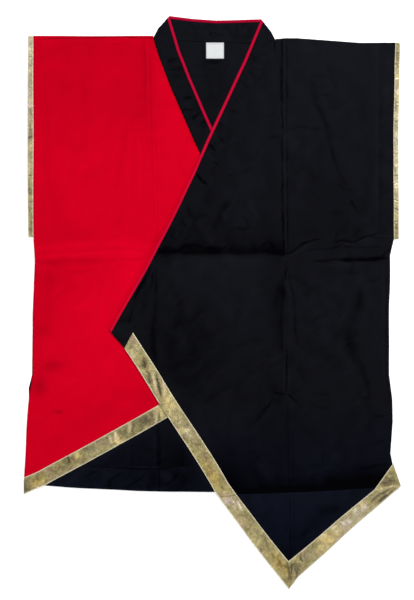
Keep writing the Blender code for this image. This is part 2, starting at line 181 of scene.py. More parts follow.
def newGroup(name, inputs, outputs):
    group = bpy.data.node_groups.new(name, "ShaderNodeTree")
    for label, kind in inputs.items():
        group.interface.new_socket(label, in_out="INPUT", socket_type="NodeSocket" + kind)
    for label, kind in outputs.items():
        group.interface.new_socket(label, in_out="OUTPUT", socket_type="NodeSocket" + kind)
    given = group.nodes.new("NodeGroupInput")
    result = group.nodes.new("NodeGroupOutput")
    return group, given.outputs, result.inputs


def makeWeaveGroup():
    # threads over and under, with a soft fuzz; Thread is the spacing in metres
    group, given, result = newGroup(
        "weave", {"Place": "Vector", "Thread": "Float", "Twill": "Float", "Fuzz": "Float"},
        {"Height": "Float", "Shade": "Float"})
    scale = calculate(group, "DIVIDE", math.tau / 20, given["Thread"])
    across, along, slant = (addNode(group, "TexWave", {"Vector": given["Place"], "Scale": scale},
                                    bands_direction=way).outputs["Fac"]
                            for way in ("X", "Y", "DIAGONAL"))
    plain = calculate(group, "MULTIPLY", across, along)
    threads = addNode(group, "Mix", {0: given["Twill"], 2: plain, 3: slant}).outputs[0]
    fuzz = noise(group, given["Place"], 900.0, 3.0)["Fac"]
    lint = noise(group, given["Place"], 160.0, 4.0)["Fac"]
    soft = calculate(group, "ADD", fuzz, lint)
    height = calculate(group, "ADD", threads, calculate(group, "MULTIPLY", soft, given["Fuzz"]))
    group.links.new(height, result["Height"])
    # Shade is painted shade between the threads and painted light on their tops
    group.links.new(spread(group, height, 0.0, 1.6, 0.88, 1.1), result["Shade"])
    return group


def makePaintedLightGroup():
    # painted shade down in the creases and painted highlight on the pressed ridges, read from the
    # painted light attribute
    group, given, result = newGroup(
        "paintedCreaseLight", {"Colour": "Color", "PaintedShade": "Color", "PaintedHighlight": "Color"}, {"Colour": "Color"})
    tone = addNode(group, "Attribute", attribute_name="tone").outputs["Fac"]
    # share of painted shade where the attribute is below nothing, and of painted highlight where it
    # is above
    deep = calculate(group, "MULTIPLY", tone, -1.0, clamp=True)
    raised = calculate(group, "MULTIPLY", tone, 1.0, clamp=True)
    colour = mixColours(group, deep, given["Colour"], given["PaintedShade"])
    group.links.new(mixColours(group, raised, colour, given["PaintedHighlight"]), result["Colour"])
    return group


def makeMottleGroup():
    # slow, faint unevenness of dye and pressing; the sizes are how many to a metre
    group, given, result = newGroup(
        "mottle", {"Place": "Vector", "Broad": "Float", "Fine": "Float", "Amount": "Float"},
        {"Shade": "Float"})
    broad = noise(group, given["Place"], given["Broad"], 3.0, roughness=0.55)["Fac"]
    fine = noise(group, given["Place"], given["Fine"], 2.0)["Fac"]
    both = calculate(group, "ADD", broad, fine)
    swing = calculate(group, "MULTIPLY", calculate(group, "SUBTRACT", both, 1.0), given["Amount"])
    group.links.new(calculate(group, "ADD", swing, 1.0), result["Shade"])
    return group


def makeFoilGroup():
    # crackled metallic cloth: little facets of foil, each turned its own way, between wrinkles
    group, given, result = newGroup(
        "foil", {"Place": "Vector", "Cells": "Float", "Patches": "Float"},
        {"Height": "Float", "Patch": "Float", "Hue": "Float", "Glint": "Float",
         "Roughness": "Float"})
    bend = noise(group, given["Place"], 130.0, 2.0)["Color"]
    bent = addNode(group, "VectorMath", {0: bend, 1: (0.008, 0.008, 0.008),
                                         2: given["Place"]}, operation="MULTIPLY_ADD").outputs[0]
    cells = addNode(group, "TexVoronoi", {"Vector": bent, "Scale": given["Cells"]},
                    feature="DISTANCE_TO_EDGE")
    facets = addNode(group, "TexVoronoi", {"Vector": bent, "Scale": given["Cells"]})
    ridges = noise(group, bent, 150.0, 3.0, roughness=0.6, kind="RIDGED_MULTIFRACTAL")["Fac"]
    patch = noise(group, given["Place"], given["Patches"], 5.0, roughness=0.6, distortion=0.8)
    away = addNode(group, "VectorMath", {0: given["Place"], 1: (3.1, 1.7, 0.4)})
    hue = noise(group, away.outputs[0], given["Patches"], 4.0, roughness=0.7, distortion=1.4)
    fine = noise(group, given["Place"], 1400.0, 2.0)["Fac"]
    wrinkle = spread(group, cells.outputs["Distance"], 0.0, 0.12, 1.0, 0.0)
    height = wrinkle
    for part in (facets.outputs["Distance"], ridges, fine):
        height = calculate(group, "ADD", height, part)
    # each facet's own brightness is a painted glint, put into the colour
    shine = calculate(group, "MULTIPLY", facets.outputs["Color"], 0.5)
    glint = calculate(group, "ADD", shine, spread(group, ridges, 0.2, 1.6))
    group.links.new(height, result["Height"])
    group.links.new(spread(group, patch["Fac"], 0.3, 0.7), result["Patch"])
    group.links.new(spread(group, hue["Fac"], 0.5, 0.66), result["Hue"])
    group.links.new(spread(group, glint, 0.2, 1.2), result["Glint"])
    group.links.new(spread(group, fine, 0.3, 0.7, 0.32, 0.55), result["Roughness"])
    return group


weaveGroup = makeWeaveGroup()
paintedLightGroup = makePaintedLightGroup()
mottleGroup = makeMottleGroup()
foilGroup = makeFoilGroup()


def newMaterial(name, values):
    paint = bpy.data.materials.new(name)
    paint.use_nodes = True
    tree = paint.node_tree
    shader = tree.nodes["Principled BSDF"]
    for socket in ("Roughness", "Metallic", "Specular IOR Level"):
        if socket in values:
            shader.inputs[socket].default_value = values[socket]
    place = addNode(tree, "TexCoord").outputs["Object"]
    return paint, tree, shader, place


def useGroup(tree, group, inputs):
    node = tree.nodes.new("ShaderNodeGroup")
    node.node_tree = group
    node.location = (len(tree.nodes) * nodeGap, -300)
    fillSockets(tree, node, inputs)
    return node.outputs


def addBump(tree, shader, height, strength, deep):
    bump = addNode(tree, "Bump", {"Height": height, "Strength": strength, "Distance": deep * mm})
    tree.links.new(bump.outputs["Normal"], shader.inputs["Normal"])


def tinted(tree, colour, by, share=1.0):
    # a colour multiplied by another, in full or by a share
    return mixColours(tree, share, colour, by, "MULTIPLY")


def makeClothMaterial(name, values):
    paint, tree, shader, place = newMaterial(name, values)
    weave = useGroup(tree, weaveGroup, {"Place": place, "Thread": values["thread"] * mm,
                                        "Twill": values["twill"], "Fuzz": values["fuzz"]})
    mottle = useGroup(tree, mottleGroup, {"Place": place, "Broad": 7.0, "Fine": 45.0,
                                          "Amount": values["uneven"]})
    tone = useGroup(tree, paintedLightGroup, {"Colour": (*values["colour"], 1),
                                      "PaintedShade": (*values["deep"], 1),
                                      "PaintedHighlight": (*values["raised"], 1)})
    shade = calculate(tree, "MULTIPLY", weave["Shade"], mottle["Shade"])
    colour = tinted(tree, tone["Colour"], shade)
    if "lowTint" in values:
        along = addNode(tree, "SeparateXYZ", {"Vector": place}).outputs["Y"]
        low = spread(tree, along, *values["lowFrom"])
        tint = mixColours(tree, low, (1, 1, 1, 1), (*values["lowTint"], 1))
        colour = tinted(tree, colour, tint)
    addBump(tree, shader, weave["Height"], values["relief"], 0.25)
    tree.links.new(colour, shader.inputs["Base Color"])
    return paint


def makeFoilMaterial(name, values):
    paint, tree, shader, place = newMaterial(name, values)
    foil = useGroup(tree, foilGroup, {"Place": place, "Cells": values["cells"],
                                      "Patches": values["patches"]})
    ramp = addNode(tree, "ValToRGB", {"Fac": foil["Patch"]})
    stops = ramp.color_ramp.elements
    while len(stops) < len(values["colours"]):
        stops.new(0.5)
    for stop, (at, colour) in zip(stops, values["colours"]):
        stop.position = at
        stop.color = (*colour, 1)
    colour = mixColours(tree, foil["Hue"], ramp.outputs["Color"], (*values["warm"], 1))
    # the folds' painted light and shade; the crackle shows more strongly under the painted shade
    fold = addNode(tree, "Attribute", attribute_name="tone").outputs["Fac"]
    crackle = calculate(tree, "MULTIPLY", fold, -values["crackle"], clamp=True)
    crackle = calculate(tree, "ADD", crackle, values["glint"])
    glint = calculate(tree, "MULTIPLY", spread(tree, foil["Glint"], 0.0, 1.0, -1.0, 1.0), crackle)
    glint = calculate(tree, "ADD", glint, 1.0)
    colour = tinted(tree, colour, glint)
    tint = addNode(tree, "Attribute", attribute_name="tint").outputs["Fac"]
    for way, name in ((1.0, "yellow"), (-1.0, "silver")):
        share = calculate(tree, "MULTIPLY", tint, way, clamp=True)
        colour = tinted(tree, colour, (*values[name], 1), share)
    # painted highlight colour: the foil's colour made lighter, keeping its crackle
    lit = tinted(tree, colour, (*values["lit"], 1))  # keeps its crackle
    raised = mixColours(tree, values["litShare"], (*values["raised"], 1), lit)
    tone = useGroup(tree, paintedLightGroup, {"Colour": colour, "PaintedShade": (*values["deep"], 1),
                                      "PaintedHighlight": raised})
    edge = addNode(tree, "Attribute", attribute_name="selvedge").outputs["Fac"]
    colour = mixColours(tree, edge, tone["Colour"], (*values["selvedge"], 1))
    addBump(tree, shader, foil["Height"], values["relief"], 0.3)
    tree.links.new(colour, shader.inputs["Base Color"])
    tree.links.new(foil["Roughness"], shader.inputs["Roughness"])
    return paint


# each material gives its own colour, a painted shade colour for the creases (deep) and a painted
# highlight colour for the ridges
blackCloth = makeClothMaterial("blackCloth", {
    "colour": (0.0044, 0.0046, 0.0066),
    "deep": (0.0002, 0.0002, 0.0007),
    "raised": (0.0080, 0.0084, 0.0110),
    "thread": 0.9, "twill": 1.0, "fuzz": 0.3, "relief": 0.25, "uneven": 0.3,
    "lowTint": (0.70, 0.88, 1.45),  # bluer towards the hem
    "lowFrom": (-0.18, -0.40),
    "Roughness": 0.9, "Specular IOR Level": 0.025,
})
redCloth = makeClothMaterial("redCloth", {
    "colour": (0.50, 0.0001, 0.0105),
    "deep": (0.20, 0.0001, 0.0050),
    "raised": (0.62, 0.0001, 0.0150),
    "thread": 0.9, "twill": 1.0, "fuzz": 0.25, "relief": 0.2, "uneven": 0.1,
    "Roughness": 0.9, "Specular IOR Level": 0.002,
})
crimsonPiping = makeClothMaterial("crimsonPiping", {
    "colour": (0.385, 0.0022, 0.0270),
    "deep": (0.10, 0.0003, 0.0060),
    "raised": (0.62, 0.0026, 0.0190),
    "thread": 0.5, "twill": 0.6, "fuzz": 0.2, "relief": 0.3, "uneven": 0.15,
    "Roughness": 0.7, "Specular IOR Level": 0.01,
})
whiteTape = makeClothMaterial("whiteTape", {
    "colour": (0.56, 0.57, 0.575),
    "deep": (0.20, 0.21, 0.22),
    "raised": (0.74, 0.76, 0.77),
    "thread": 0.6, "twill": 0.0, "fuzz": 0.2, "relief": 0.35, "uneven": 0.05,
    "Roughness": 0.75, "Specular IOR Level": 0.2,
})
goldFoil = makeFoilMaterial("goldFoil", {
    "colours": [
        (0.00, (0.250, 0.200, 0.078)),
        (0.30, (0.425, 0.368, 0.155)),
        (0.55, (0.540, 0.468, 0.205)),
        (0.75, (0.660, 0.540, 0.205)),
        (1.00, (0.820, 0.705, 0.400)),
    ],
    "warm": (0.560, 0.390, 0.250),
    "yellow": (1.15, 1.0, 0.50),
    "silver": (1.09, 1.13, 1.60),
    "lit": (1.95, 1.95, 2.7),
    "litShare": 0.65,
    # painted shade colour in the cracks, and painted highlight colour on the glints
    "deep": (0.085, 0.062, 0.028),
    "raised": (0.760, 0.690, 0.470),
    "selvedge": (0.640, 0.580, 0.410),
    "cells": 240.0, "patches": 62.0, "glint": 0.38, "crackle": 0.8, "relief": 0.42,
    "Metallic": 0.6, "Specular IOR Level": 0.4,
})
sewingThread = {"thread": 0.3, "twill": 1.0, "fuzz": 0.2, "relief": 0.4, "uneven": 0.1}
blackThread = makeClothMaterial("blackThread", {
    "colour": (0.0030, 0.0034, 0.0050),
    "deep": (0.0006, 0.0006, 0.0010),
    "raised": (0.0085, 0.0092, 0.0125),
    **sewingThread,
    "Roughness": 0.6, "Specular IOR Level": 0.08,
})
redThread = makeClothMaterial("redThread", {
    "colour": (0.36, 0.0008, 0.0080),
    "deep": (0.17, 0.0002, 0.0040),
    "raised": (0.60, 0.0020, 0.0150),
    **sewingThread,
    "Roughness": 0.6, "Specular IOR Level": 0.1,
})
goldThread = makeClothMaterial("goldThread", {
    "colour": (0.50, 0.46, 0.30),
    "deep": (0.20, 0.17, 0.09),
    "raised": (0.80, 0.76, 0.58),
    **sewingThread,
    "Roughness": 0.5, "Specular IOR Level": 0.3,
})
print("materials ready")


# shapes in the flat

cloth = {
    "foldStep": 2.0,  # between points along a fold
    "lowGrid": 14.0,  # between points on an underside
    "rasterStep": 3.0,
    "blur": 2,  # rounds of smoothing where a layer comes down off the one below
    "openReach": 12.0,  # folds fade in over this far outside what covers them
    "seamGrow": 0.2,  # closes the gap that the CAD keeps at its seams
    "loftReach": 24.0,
    "seamReach": 7.0,
    "streakTurn": 34.0,  # way that the little creases run, in degrees
    "weld": 0.005,  # corners of a node closer than this are one
    "topTilt": 0.2,  # a top face's normal points up by more than this
    "far": 1e9,
    "tiny": 0.02,  # an edge shorter than this has no way
    "bandTurn": 22,  # an edge within so many degrees of a band's way runs along it
    "rimRows": (0.12, 0.4, 1.0),  # rows of points inside a rim, as shares of its radius
    "foldRows": (0.35, 0.7, 1.0),  # and beside a fold, as shares of its reach
    "rowPitch": 0.87,  # rows of the even grid are this much closer than its points
    "ridges": 6,  # how many runs of crinkles cross each other
    "sewnFull": 0.85,  # how much of its thickness a rim keeps at a seam
    "thinnest": 0.25,  # the least share of its thickness that a fold leaves
    "coveredPaintedLight": 0.3,  # share of its painted light and shade that is left where it is covered
}
foldSway = ((6.3, 1, 0.5), (2.7, 2, 0.25))  # how a fold wanders: length, start and amount
foldSwell = ((8.1, 5, 0.16),)  # how its width changes
foldGain = ((10.7, 3, 0.22), (4.1, 1, 0.16))  # and its height
clothDefaults = {
    "thick": 1.0,
    "roll": 0.8,  # radius of the rounded rim
    "grid": 4.5,
    "rimStep": 3.0,
    "loft": 0.0,  # how far the middle stands off what is below
    "wave": 0.0,
    "waveLength": 90.0,
    "crinkle": 0.0,
    "crinkleLength": 6.0,
    "rumple": 0.0,
    "rumpleLength": 42.0,
    # painted light and shade that go with the rumples
    "rumplePaintedLight": 0.2,
    "paintedEdgeShade": 0.0,  # painted shade towards the free rim
    "edgeWidth": 1.5,
    "sewnTo": {},  # the nodes it is seamed to, and how far it comes down there
    "seed": 1,
    "foldSpread": 1.0,  # softens all its folds together
    "foldDepth": 1.0,
    "folds": [],
    "swells": [],
    "coveredBy": [],
    "liesOn": None,  # a piece whose folds this one follows
    "edgeAngle": None,  # way that the selvedges run
    "edgeGap": None,  # a place and a reach where the selvedge doesn't show
}


def onCoat(points):
    return (np.asarray(points, float)[:, :2] - (coatX, coatY)) / mm


def softStep(t):
    t = np.clip(t, 0.0, 1.0)
    return t * t * (3 - 2 * t)


def smoothPath(places, step):
    # a rounded run through the places, with a sample at every step
    p = np.array([(x, -downBy) for x, downBy in places], float)
    p = np.vstack([2 * p[0] - p[1], p, 2 * p[-1] - p[-2]])
    run = []
    for a, b, c, d in zip(p, p[1:], p[2:], p[3:]):
        count = max(1, int(np.linalg.norm(c - b) / step))
        t = np.arange(count)[:, None] / count
        run.append(0.5 * (2 * b + (c - a) * t + (2 * a - 5 * b + 4 * c - d) * t * t
                          + (3 * b - a - 3 * c + d) * t ** 3))
    return np.vstack([*run, p[-2]])


def edgesOf(rim):
    return zip(rim, np.roll(rim, -1, axis=0))


def toEdge(points, a, way):
    # how far along an edge each point's nearest spot is, the way off it, and the distance
    share = np.clip(((points - a) @ way) / max(way @ way, 1e-12), 0, 1)
    gap = points - a - share[:, None] * way
    return share, gap, np.hypot(gap[:, 0], gap[:, 1])


def alongPath(points, path):
    # how far each point is along a path, how far to its left, and the path's length
    best = np.full(len(points), cloth["far"])
    far, side = np.zeros((2, len(points)))
    start = 0.0
    for a, b in zip(path, path[1:]):
        step = b - a
        length = math.hypot(*step)
        share, gap, distance = toEdge(points, a, step)
        near = distance < best
        best[near] = distance[near]
        far[near] = (start + share * length)[near]
        side[near] = np.where(step[0] * gap[:, 1] - step[1] * gap[:, 0] < 0, -1, 1)[near]
        start += length
    return far, best * side, start


def rimDistance(points, rim):
    # how far each point is inside a closed outline, less than nothing outside it
    best = np.full(len(points), cloth["far"])
    inside = np.zeros(len(points), bool)
    for a, b in edgesOf(rim):
        step = b - a
        best = np.minimum(best, toEdge(points, a, step)[2])
        if a[1] != b[1]:
            spans = (a[1] > points[:, 1]) != (b[1] > points[:, 1])
            left = points[:, 0] < a[0] + step[0] * (points[:, 1] - a[1]) / (b[1] - a[1])
            inside ^= spans & left
    return np.where(inside, best, -best)


# what the CAD says

def upperSide(node):
    # the node's top faces as a tree, and its rim seen from above
    cad = bmesh.new()
    cad.from_mesh(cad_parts[node].data)
    bmesh.ops.remove_doubles(cad, verts=cad.verts[:], dist=cloth["weld"] * mm)
    cad.normal_update()
    lower = [f for f in cad.faces if f.normal.z < cloth["topTilt"]]
    bmesh.ops.delete(cad, geom=lower, context="FACES")
    after = {}
    for edge in cad.edges:
        if edge.is_boundary:
            loop = edge.link_loops[0]
            after[loop.vert] = loop.link_loop_next.vert
    vert = next(iter(after))
    rim = []
    while vert in after:
        rim.append(vert.co.copy())
        vert = after.pop(vert)
    tree = BVHTree.FromBMesh(cad)
    cad.free()
    return tree, grown(onCoat(rim), cloth["seamGrow"])


def grown(rim, distance):
    # an outline moved outwards all round, its corners kept sharp
    before = rim - np.roll(rim, 1, axis=0)
    before /= np.hypot(*before.T)[:, None]
    after = np.roll(before, -1, axis=0)
    outward = np.stack([before[:, 1] + after[:, 1], -before[:, 0] - after[:, 0]], axis=1)
    return rim + outward * (distance / np.maximum(1 + (before * after).sum(axis=1), 0.3))[:, None]


def averaged(z, where):
    # the mean of the known neighbours, in the cells asked for
    wide = np.pad(z, 1, mode="edge")
    rows, columns = z.shape
    around = [wide[i:i + rows, j:j + columns] for i in range(3) for j in range(3)]
    known = np.sum([~np.isnan(a) for a in around], axis=0)
    total = np.nansum(around, axis=0)
    return np.where(where & (known > 0), total / np.maximum(known, 1), z)


def rasterOf(tree, rim):
    # the height of a node's top, smoothed, carried on a little past its rim
    step = cloth["rasterStep"]
    low = rim.min(0) - 3 * step
    count = ((rim.max(0) - low) / step).astype(int) + 4
    z = np.full(count, np.nan)
    for i in range(count[0]):
        for j in range(count[1]):
            x, y = low + (i * step, j * step)
            hit = tree.ray_cast(Vector((coatX + x * mm, coatY + y * mm, 1.0)), Vector((0, 0, -1)))
            if hit[0]:
                z[i, j] = hit[0].z / mm
    while np.isnan(z).any():
        z = averaged(z, np.isnan(z))
    for _ in range(cloth["blur"]):
        z = averaged(z, np.ones(z.shape, bool))
    return low, z


def readRaster(raster, points):
    low, z = raster
    at = (points - low) / cloth["rasterStep"]
    i = np.clip(at[:, 0].astype(int), 0, z.shape[0] - 2)
    j = np.clip(at[:, 1].astype(int), 0, z.shape[1] - 2)
    u = np.clip(at[:, 0] - i, 0, 1)
    v = np.clip(at[:, 1] - j, 0, 1)
    return ((z[i, j] * (1 - u) + z[i + 1, j] * u) * (1 - v)
            + (z[i, j + 1] * (1 - u) + z[i + 1, j + 1] * u) * v)


def nudge(x, downBy, right, down):
    return {"at": (x, -downBy), "by": (right, -down)}


# how the cloth lies a little off its cut outline, first at the sides
settling = {"reach": 42.0, "rest": 0.2, "step": 12.0}
sides = [nudge(*n) for n in [
    (320, 362, 0.3, 0), (314, 400, 2.6, 0), (313, 440, 3.4, 0), (312, 490, 1.8, 0),
    (311, 550, 2.2, 0), (312, 610, 1.9, 0), (316, 660, 1.5, 0), (320, 710, 1.0, 0),
    (322, 760, 0.5, 0), (330, 0, 1.4, -0.4), (330, 100, 1.0, 0), (330, 200, 0.8, 0),
    (330, 300, 0.8, 0), (330, 800, 0, 1.0),
]]
underNudges = sides + [nudge(*n) for n in [
    (-77, -32, -2.2, 0), (-66, 10, 0, 0), (-60, 60, 0.6, 0), (-38, 112, 1.5, 0), (-20, 150, 2.2, 0),
    (0, 190, 2.6, 0), (-110, 0, 0, 0), (-84, 80, 0.4, 0), (-55, 140, 2.0, 0), (-22, 200, 2.2, 0),
    (-215, 0, 0, 0.6), (-334, 0, 0.7, 0), (-334, 180, 0.3, 0), (-334, 340, 0.3, 0),
    (-328, 376, 1.6, 0), (-327, 400, 2.2, 0), (-328, 450, 1.6, 0), (-330, 520, 1.2, 0),
    (-331, 570, 0.5, 0), (-334, 620, 1.3, 0), (-338, 665, 0.3, 0), (-342, 710, 1.4, 0),
    (-344, 760, 2.2, 0), (-346, 815, 1.2, -0.3), (-326, 804, 0.6, 0.8), (-120, 815, 0, 0.7),
    (86, -30, 3.2, 0.5), (54, -29, 0, -0.7), (14, -28, 0, 0), (0, 30, 0, 0), (-300, 788, 0, 0.1),
    (-276, 775, 0.5, 0.8), (-258, 765, 0.9, 1.7), (-230, 748, 1.2, 2.2), (-200, 733, 1.5, 2.6),
    (-160, 710, 1.6, 2.9), (-125, 690, 1.7, 3.0), (-98, 675, 1.4, 2.4),
]]
overNudges = sides + [nudge(*n) for n in [
    (84, -30, 3.0, 0.5), (72, 10, 2.0, 0), (55, 45, 0.4, 0), (35, 90, 0, 0), (12, 135, -0.2, 0),
    (-2, 160, -1.2, 0), (-16, 196, -1.2, 0), (-30, 235, -0.5, 0), (-48, 270, 0.5, 0),
    (-66, 312, 2.0, 0), (-88, 348, 1.8, 0), (-104, 384, -0.4, 0), (-124, 420, 1.4, 0),
    (-142, 455, -0.4, 0), (-160, 486, -1.8, 0), (-174, 514, -3.2, 0), (-183, 536, -2.0, 0),
    (110, 30, 0, 0), (60, 120, 0, 0), (0, 250, 0, 0), (-50, 350, 0.6, 0), (-110, 480, -0.6, 0),
    (-140, 545, -1.2, 0), (-120, 600, 0, 0), (-80, 652, -0.6, 0.4), (-58, 690, 0.5, -0.3),
    (-30, 728, 1.8, -1.2), (-8, 761, 2.3, -1.5), (13, 794, 2.0, -1.3), (28, 818, -0.5, 0.3),
    (50, 850, -1.1, 0.7), (79, 895, -2.2, 1.5), (105, 933, -2.3, 1.6), (130, 968, -1.4, 1.1),
    (158, 942, 0.5, 0.6), (190, 916, 0.9, 1.0), (244, 871, 0.2, 0.2), (290, 832, 0.7, 0.8),
]]
fuller = {"hem_band_left_short": 1.4, "hem_band_left_long": 0.4}  # bands that wrap the hem
overNodes = ["left_front", "collar_left", "piping_left", "hem_band_left_long",
             "hem_band_left_short", "cuff_left_front"]


def settled(rim, nudges):
    # an outline with more corners, moved by the nudges near each of them
    places = []
    for a, b in edgesOf(rim):
        count = max(1, round(np.linalg.norm(b - a) / settling["step"]))
        places.append(a + (b - a) * (np.arange(count) / count)[:, None])
    rim = np.vstack(places)
    weight = np.full(len(rim), settling["rest"])
    moved = np.zeros(rim.shape)
    for n in nudges:
        gap = rim - n["at"]
        near = np.exp(-(gap ** 2).sum(axis=1) / settling["reach"] ** 2 * 2)
        weight += near
        moved += near[:, None] * np.array(n["by"])
    return rim + moved / weight[:, None]


rims = {}
rasters = {}
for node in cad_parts:
    tree, rim = upperSide(node)
    rasters[node] = rasterOf(tree, rim)
    rim = settled(rim, overNudges if node in overNodes else underNudges)
    rims[node] = grown(rim, fuller.get(node, 0.0))
print("outlines and heights read from", len(rims), "nodes")


# folds and waves

def fold(places, left, right, height, tone, fade=14.0, even=False, tint=0.0):
    # a ridge, or a trough if height is negative; left and right are its reach to each side,
    # tone lightens it with painted highlight, and darkens it with painted shade when negative; tint
    # is how much yellower; an even fold is the same all along
    return {"places": places, "left": left, "right": right, "height": height,
            "tone": tone, "fade": fade, "even": even, "tint": tint}


def swell(x, downBy, long, wide, turn, height, tone, tint=0.0):
    # a broad rise or hollow, turned so many degrees from level, with its painted light and shade
    return {"at": (x, -downBy), "long": long, "wide": wide, "turn": math.radians(turn),
            "height": height, "tone": tone, "tint": tint}


def rippled(start, far, number, ripples):
    for length, phase, amount in ripples:
        start = start + amount * np.sin(far / length + phase * number)
    return start


def foldField(points, piece):
    # heights, painted light and shade, and tint from the folds and swells
    height, tone, tint = np.zeros((3, len(points)))
    for number, f in enumerate(piece["folds"]):
        path = smoothPath(f["places"], cloth["foldStep"] * 2)
        wider, weaker = (1, 1) if f["even"] else (piece["foldSpread"], piece["foldDepth"])
        reach = max(f["left"], f["right"]) * wider
        box = ((points > path.min(0) - reach - 2) & (points < path.max(0) + reach + 2)).all(axis=1)
        if not box.any():
            continue
        far, side, length = alongPath(points[box], path)
        nearEnd = np.minimum(far, length - far) / max(length, 1)
        width = gain = 1.0
        if not f["even"]:
            side = side + rippled(0, far, number, foldSway) * min(1.0, reach / 5)
            width = rippled(0.55 + 0.45 * softStep(nearEnd * 3.5), far, number, foldSwell)
            gain = rippled(1, far, number, foldGain)
        across = np.abs(side) / (np.where(side > 0, f["left"], f["right"]) * width * wider)
        sharp = np.clip(1 - across, 0, 1) ** 1.4
        round_ = np.clip(1 - across ** 2, 0, 1) ** 2
        shape = sharp + (round_ - sharp) * min(1.0, max(0.0, (reach - 3) / 6))
        if f["even"]:
            shape = np.clip(1 - across, 0, 1) ** 1.6
        shape *= softStep((far + 0.3 * f["fade"]) / f["fade"])
        shape *= softStep((length - far + 0.3 * f["fade"]) / f["fade"])
        height[box] += f["height"] * shape * gain * weaker
        tone[box] += f["tone"] * shape * gain * weaker
        tint[box] += f["tint"] * shape * gain
    for s in piece["swells"]:
        gap = points - s["at"]
        c, n = math.cos(s["turn"]), math.sin(s["turn"])
        u = (gap[:, 0] * c + gap[:, 1] * n) / s["long"]
        v = (gap[:, 1] * c - gap[:, 0] * n) / s["wide"]
        shape = np.exp(-u * u - v * v)
        height += s["height"] * shape
        tone += s["tone"] * shape
        tint += s["tint"] * shape
    return height, tone, tint


def waves(points, length, seed, count=7):
    # slow uneven waves, from about -1 to 1
    draw = np.random.default_rng(seed)
    total = np.zeros(len(points))
    for _ in range(count):
        turn = draw.uniform(0, math.tau)
        k = math.tau / (length * draw.uniform(0.7, 1.7))
        run = points @ (math.cos(turn), math.sin(turn))
        total += np.sin(run * k + draw.uniform(0, math.tau))
    return total / count ** 0.5 / 1.4


def crinkles(points, length, seed):
    # sharp little ridges running every way, from 0 to 1
    draw = np.random.default_rng(seed)
    total = np.zeros(len(points))
    bend = waves(points, length * 2.3, seed + 50) * length * 0.35
    for _ in range(cloth["ridges"]):
        turn = draw.uniform(0, math.tau)
        k = math.pi / (length * draw.uniform(0.6, 1.8))
        run = points @ (math.cos(turn), math.sin(turn)) + bend
        total += (1 - np.abs(np.sin(run * k + draw.uniform(0, math.pi)))) ** 2
    return total / cloth["ridges"]


def rumples(points, length, seed):
    # soft unevenness of cloth that has been folded away, busier in some places than in others
    bend = waves(points, length * 1.7, seed + 9)[:, None] * np.array([length, -length]) * 0.25
    moved = points + bend
    turn = math.radians(cloth["streakTurn"])
    streaked = np.stack([moved @ (math.cos(turn), math.sin(turn)) * 0.4,
                         moved @ (-math.sin(turn), math.cos(turn))], axis=1)
    total = 0.5 * waves(moved, length, seed + 1) + 0.3 * waves(streaked, length * 0.5, seed + 2)
    total += 0.3 * waves(streaked, length * 0.24, seed + 3, 9)
    busy = softStep(0.5 + 0.7 * waves(points, length * 4, seed + 4))
    return total * (0.45 + 0.9 * busy)


def crownOf(distance, roll):
    # how full the cloth is near its rounded rim
    return np.sqrt(np.clip(1 - (1 - np.minimum(distance / roll, 1)) ** 2, 0, 1))


def openness(points, covers):
    share = np.ones(len(points))
    for cover in covers:
        share = np.minimum(share, softStep(-rimDistance(points, rims[cover]) / cloth["openReach"]))
    return share


def sewnShare(piece, points, distance):
    # 1 beside a seam with another piece, 0 at a free rim, and how far the seam draws it down
    share, drop = np.zeros((2, len(points)))
    for node, down in piece["sewnTo"].items():
        gap = -rimDistance(points, rims[node])
        share = np.maximum(share, softStep(1.3 - (gap - distance) / 1.5))
        drop = np.maximum(drop, down * softStep(1 - gap / cloth["seamReach"]))
    return share, drop


def crownAt(piece, points):
    distance = np.maximum(rimDistance(points, rims[piece["node"]]), 0)
    share, drop = sewnShare(piece, points, distance)
    crown = crownOf(distance, piece["roll"])
    return crown + (1 - crown) * cloth["sewnFull"] * share, drop, distance, share


def reliefOf(piece, points):
    # what the piece adds on the CAD's top, and the painted light and shade and tint of its folds
    crown, drop, distance, share = crownAt(piece, points)
    lift, tone, tint = foldField(points, piece)
    lift += piece["wave"] * waves(points, piece["waveLength"], piece["seed"])
    lift += piece["crinkle"] * crinkles(points, piece["crinkleLength"], piece["seed"])
    lift += piece["loft"] * softStep(distance / cloth["loftReach"])
    if piece["rumple"]:
        rumple = rumples(points, piece["rumpleLength"], piece["seed"])
        lift += piece["rumple"] * rumple
        # painted light and shade that follow the rumples
        tone += piece["rumplePaintedLight"] * rumple
    # painted shade along the free rim
    edge = 1 - softStep(distance / piece["edgeWidth"])
    tone += piece["paintedEdgeShade"] * edge * (1 - share)
    shown = openness(points, piece["coveredBy"])
    lift = np.maximum(lift * shown - drop, (cloth["thinnest"] - 1) * piece["thick"])
    # where it is covered, only a share of the painted light and shade is kept
    left = cloth["coveredPaintedLight"]
    return lift * crown, tone * (left + (1 - left) * shown), tint


def carriedBy(piece, points):
    if not piece["liesOn"]:
        return np.zeros(len(points))
    return reliefOf(piece["liesOn"], points)[0] + carriedBy(piece["liesOn"], points)


def topOf(piece, points):
    # height of the finished surface at places on it
    half = piece["thick"] / 2
    middle = readRaster(rasters[piece["node"]], points) - half + carriedBy(piece, points)
    return middle + half * crownAt(piece, points)[0] + reliefOf(piece, points)[0]


# cloth shells

def thinned(points, cell):
    if not len(points):
        return points
    first = np.unique(np.round(points / cell).astype(int), axis=0, return_index=True)[1]
    return points[np.sort(first)]


def rimSamples(rim, step):
    places = []
    inward = []
    for a, b in edgesOf(rim):
        way = b - a
        length = math.hypot(*way)
        if length < cloth["tiny"]:
            continue
        count = max(1, round(length / step))
        places.append(a + way * (np.arange(count) / count)[:, None])
        inward.append(np.tile((-way[1] / length, way[0] / length), (count, 1)))
    return np.vstack(places), np.vstack(inward)


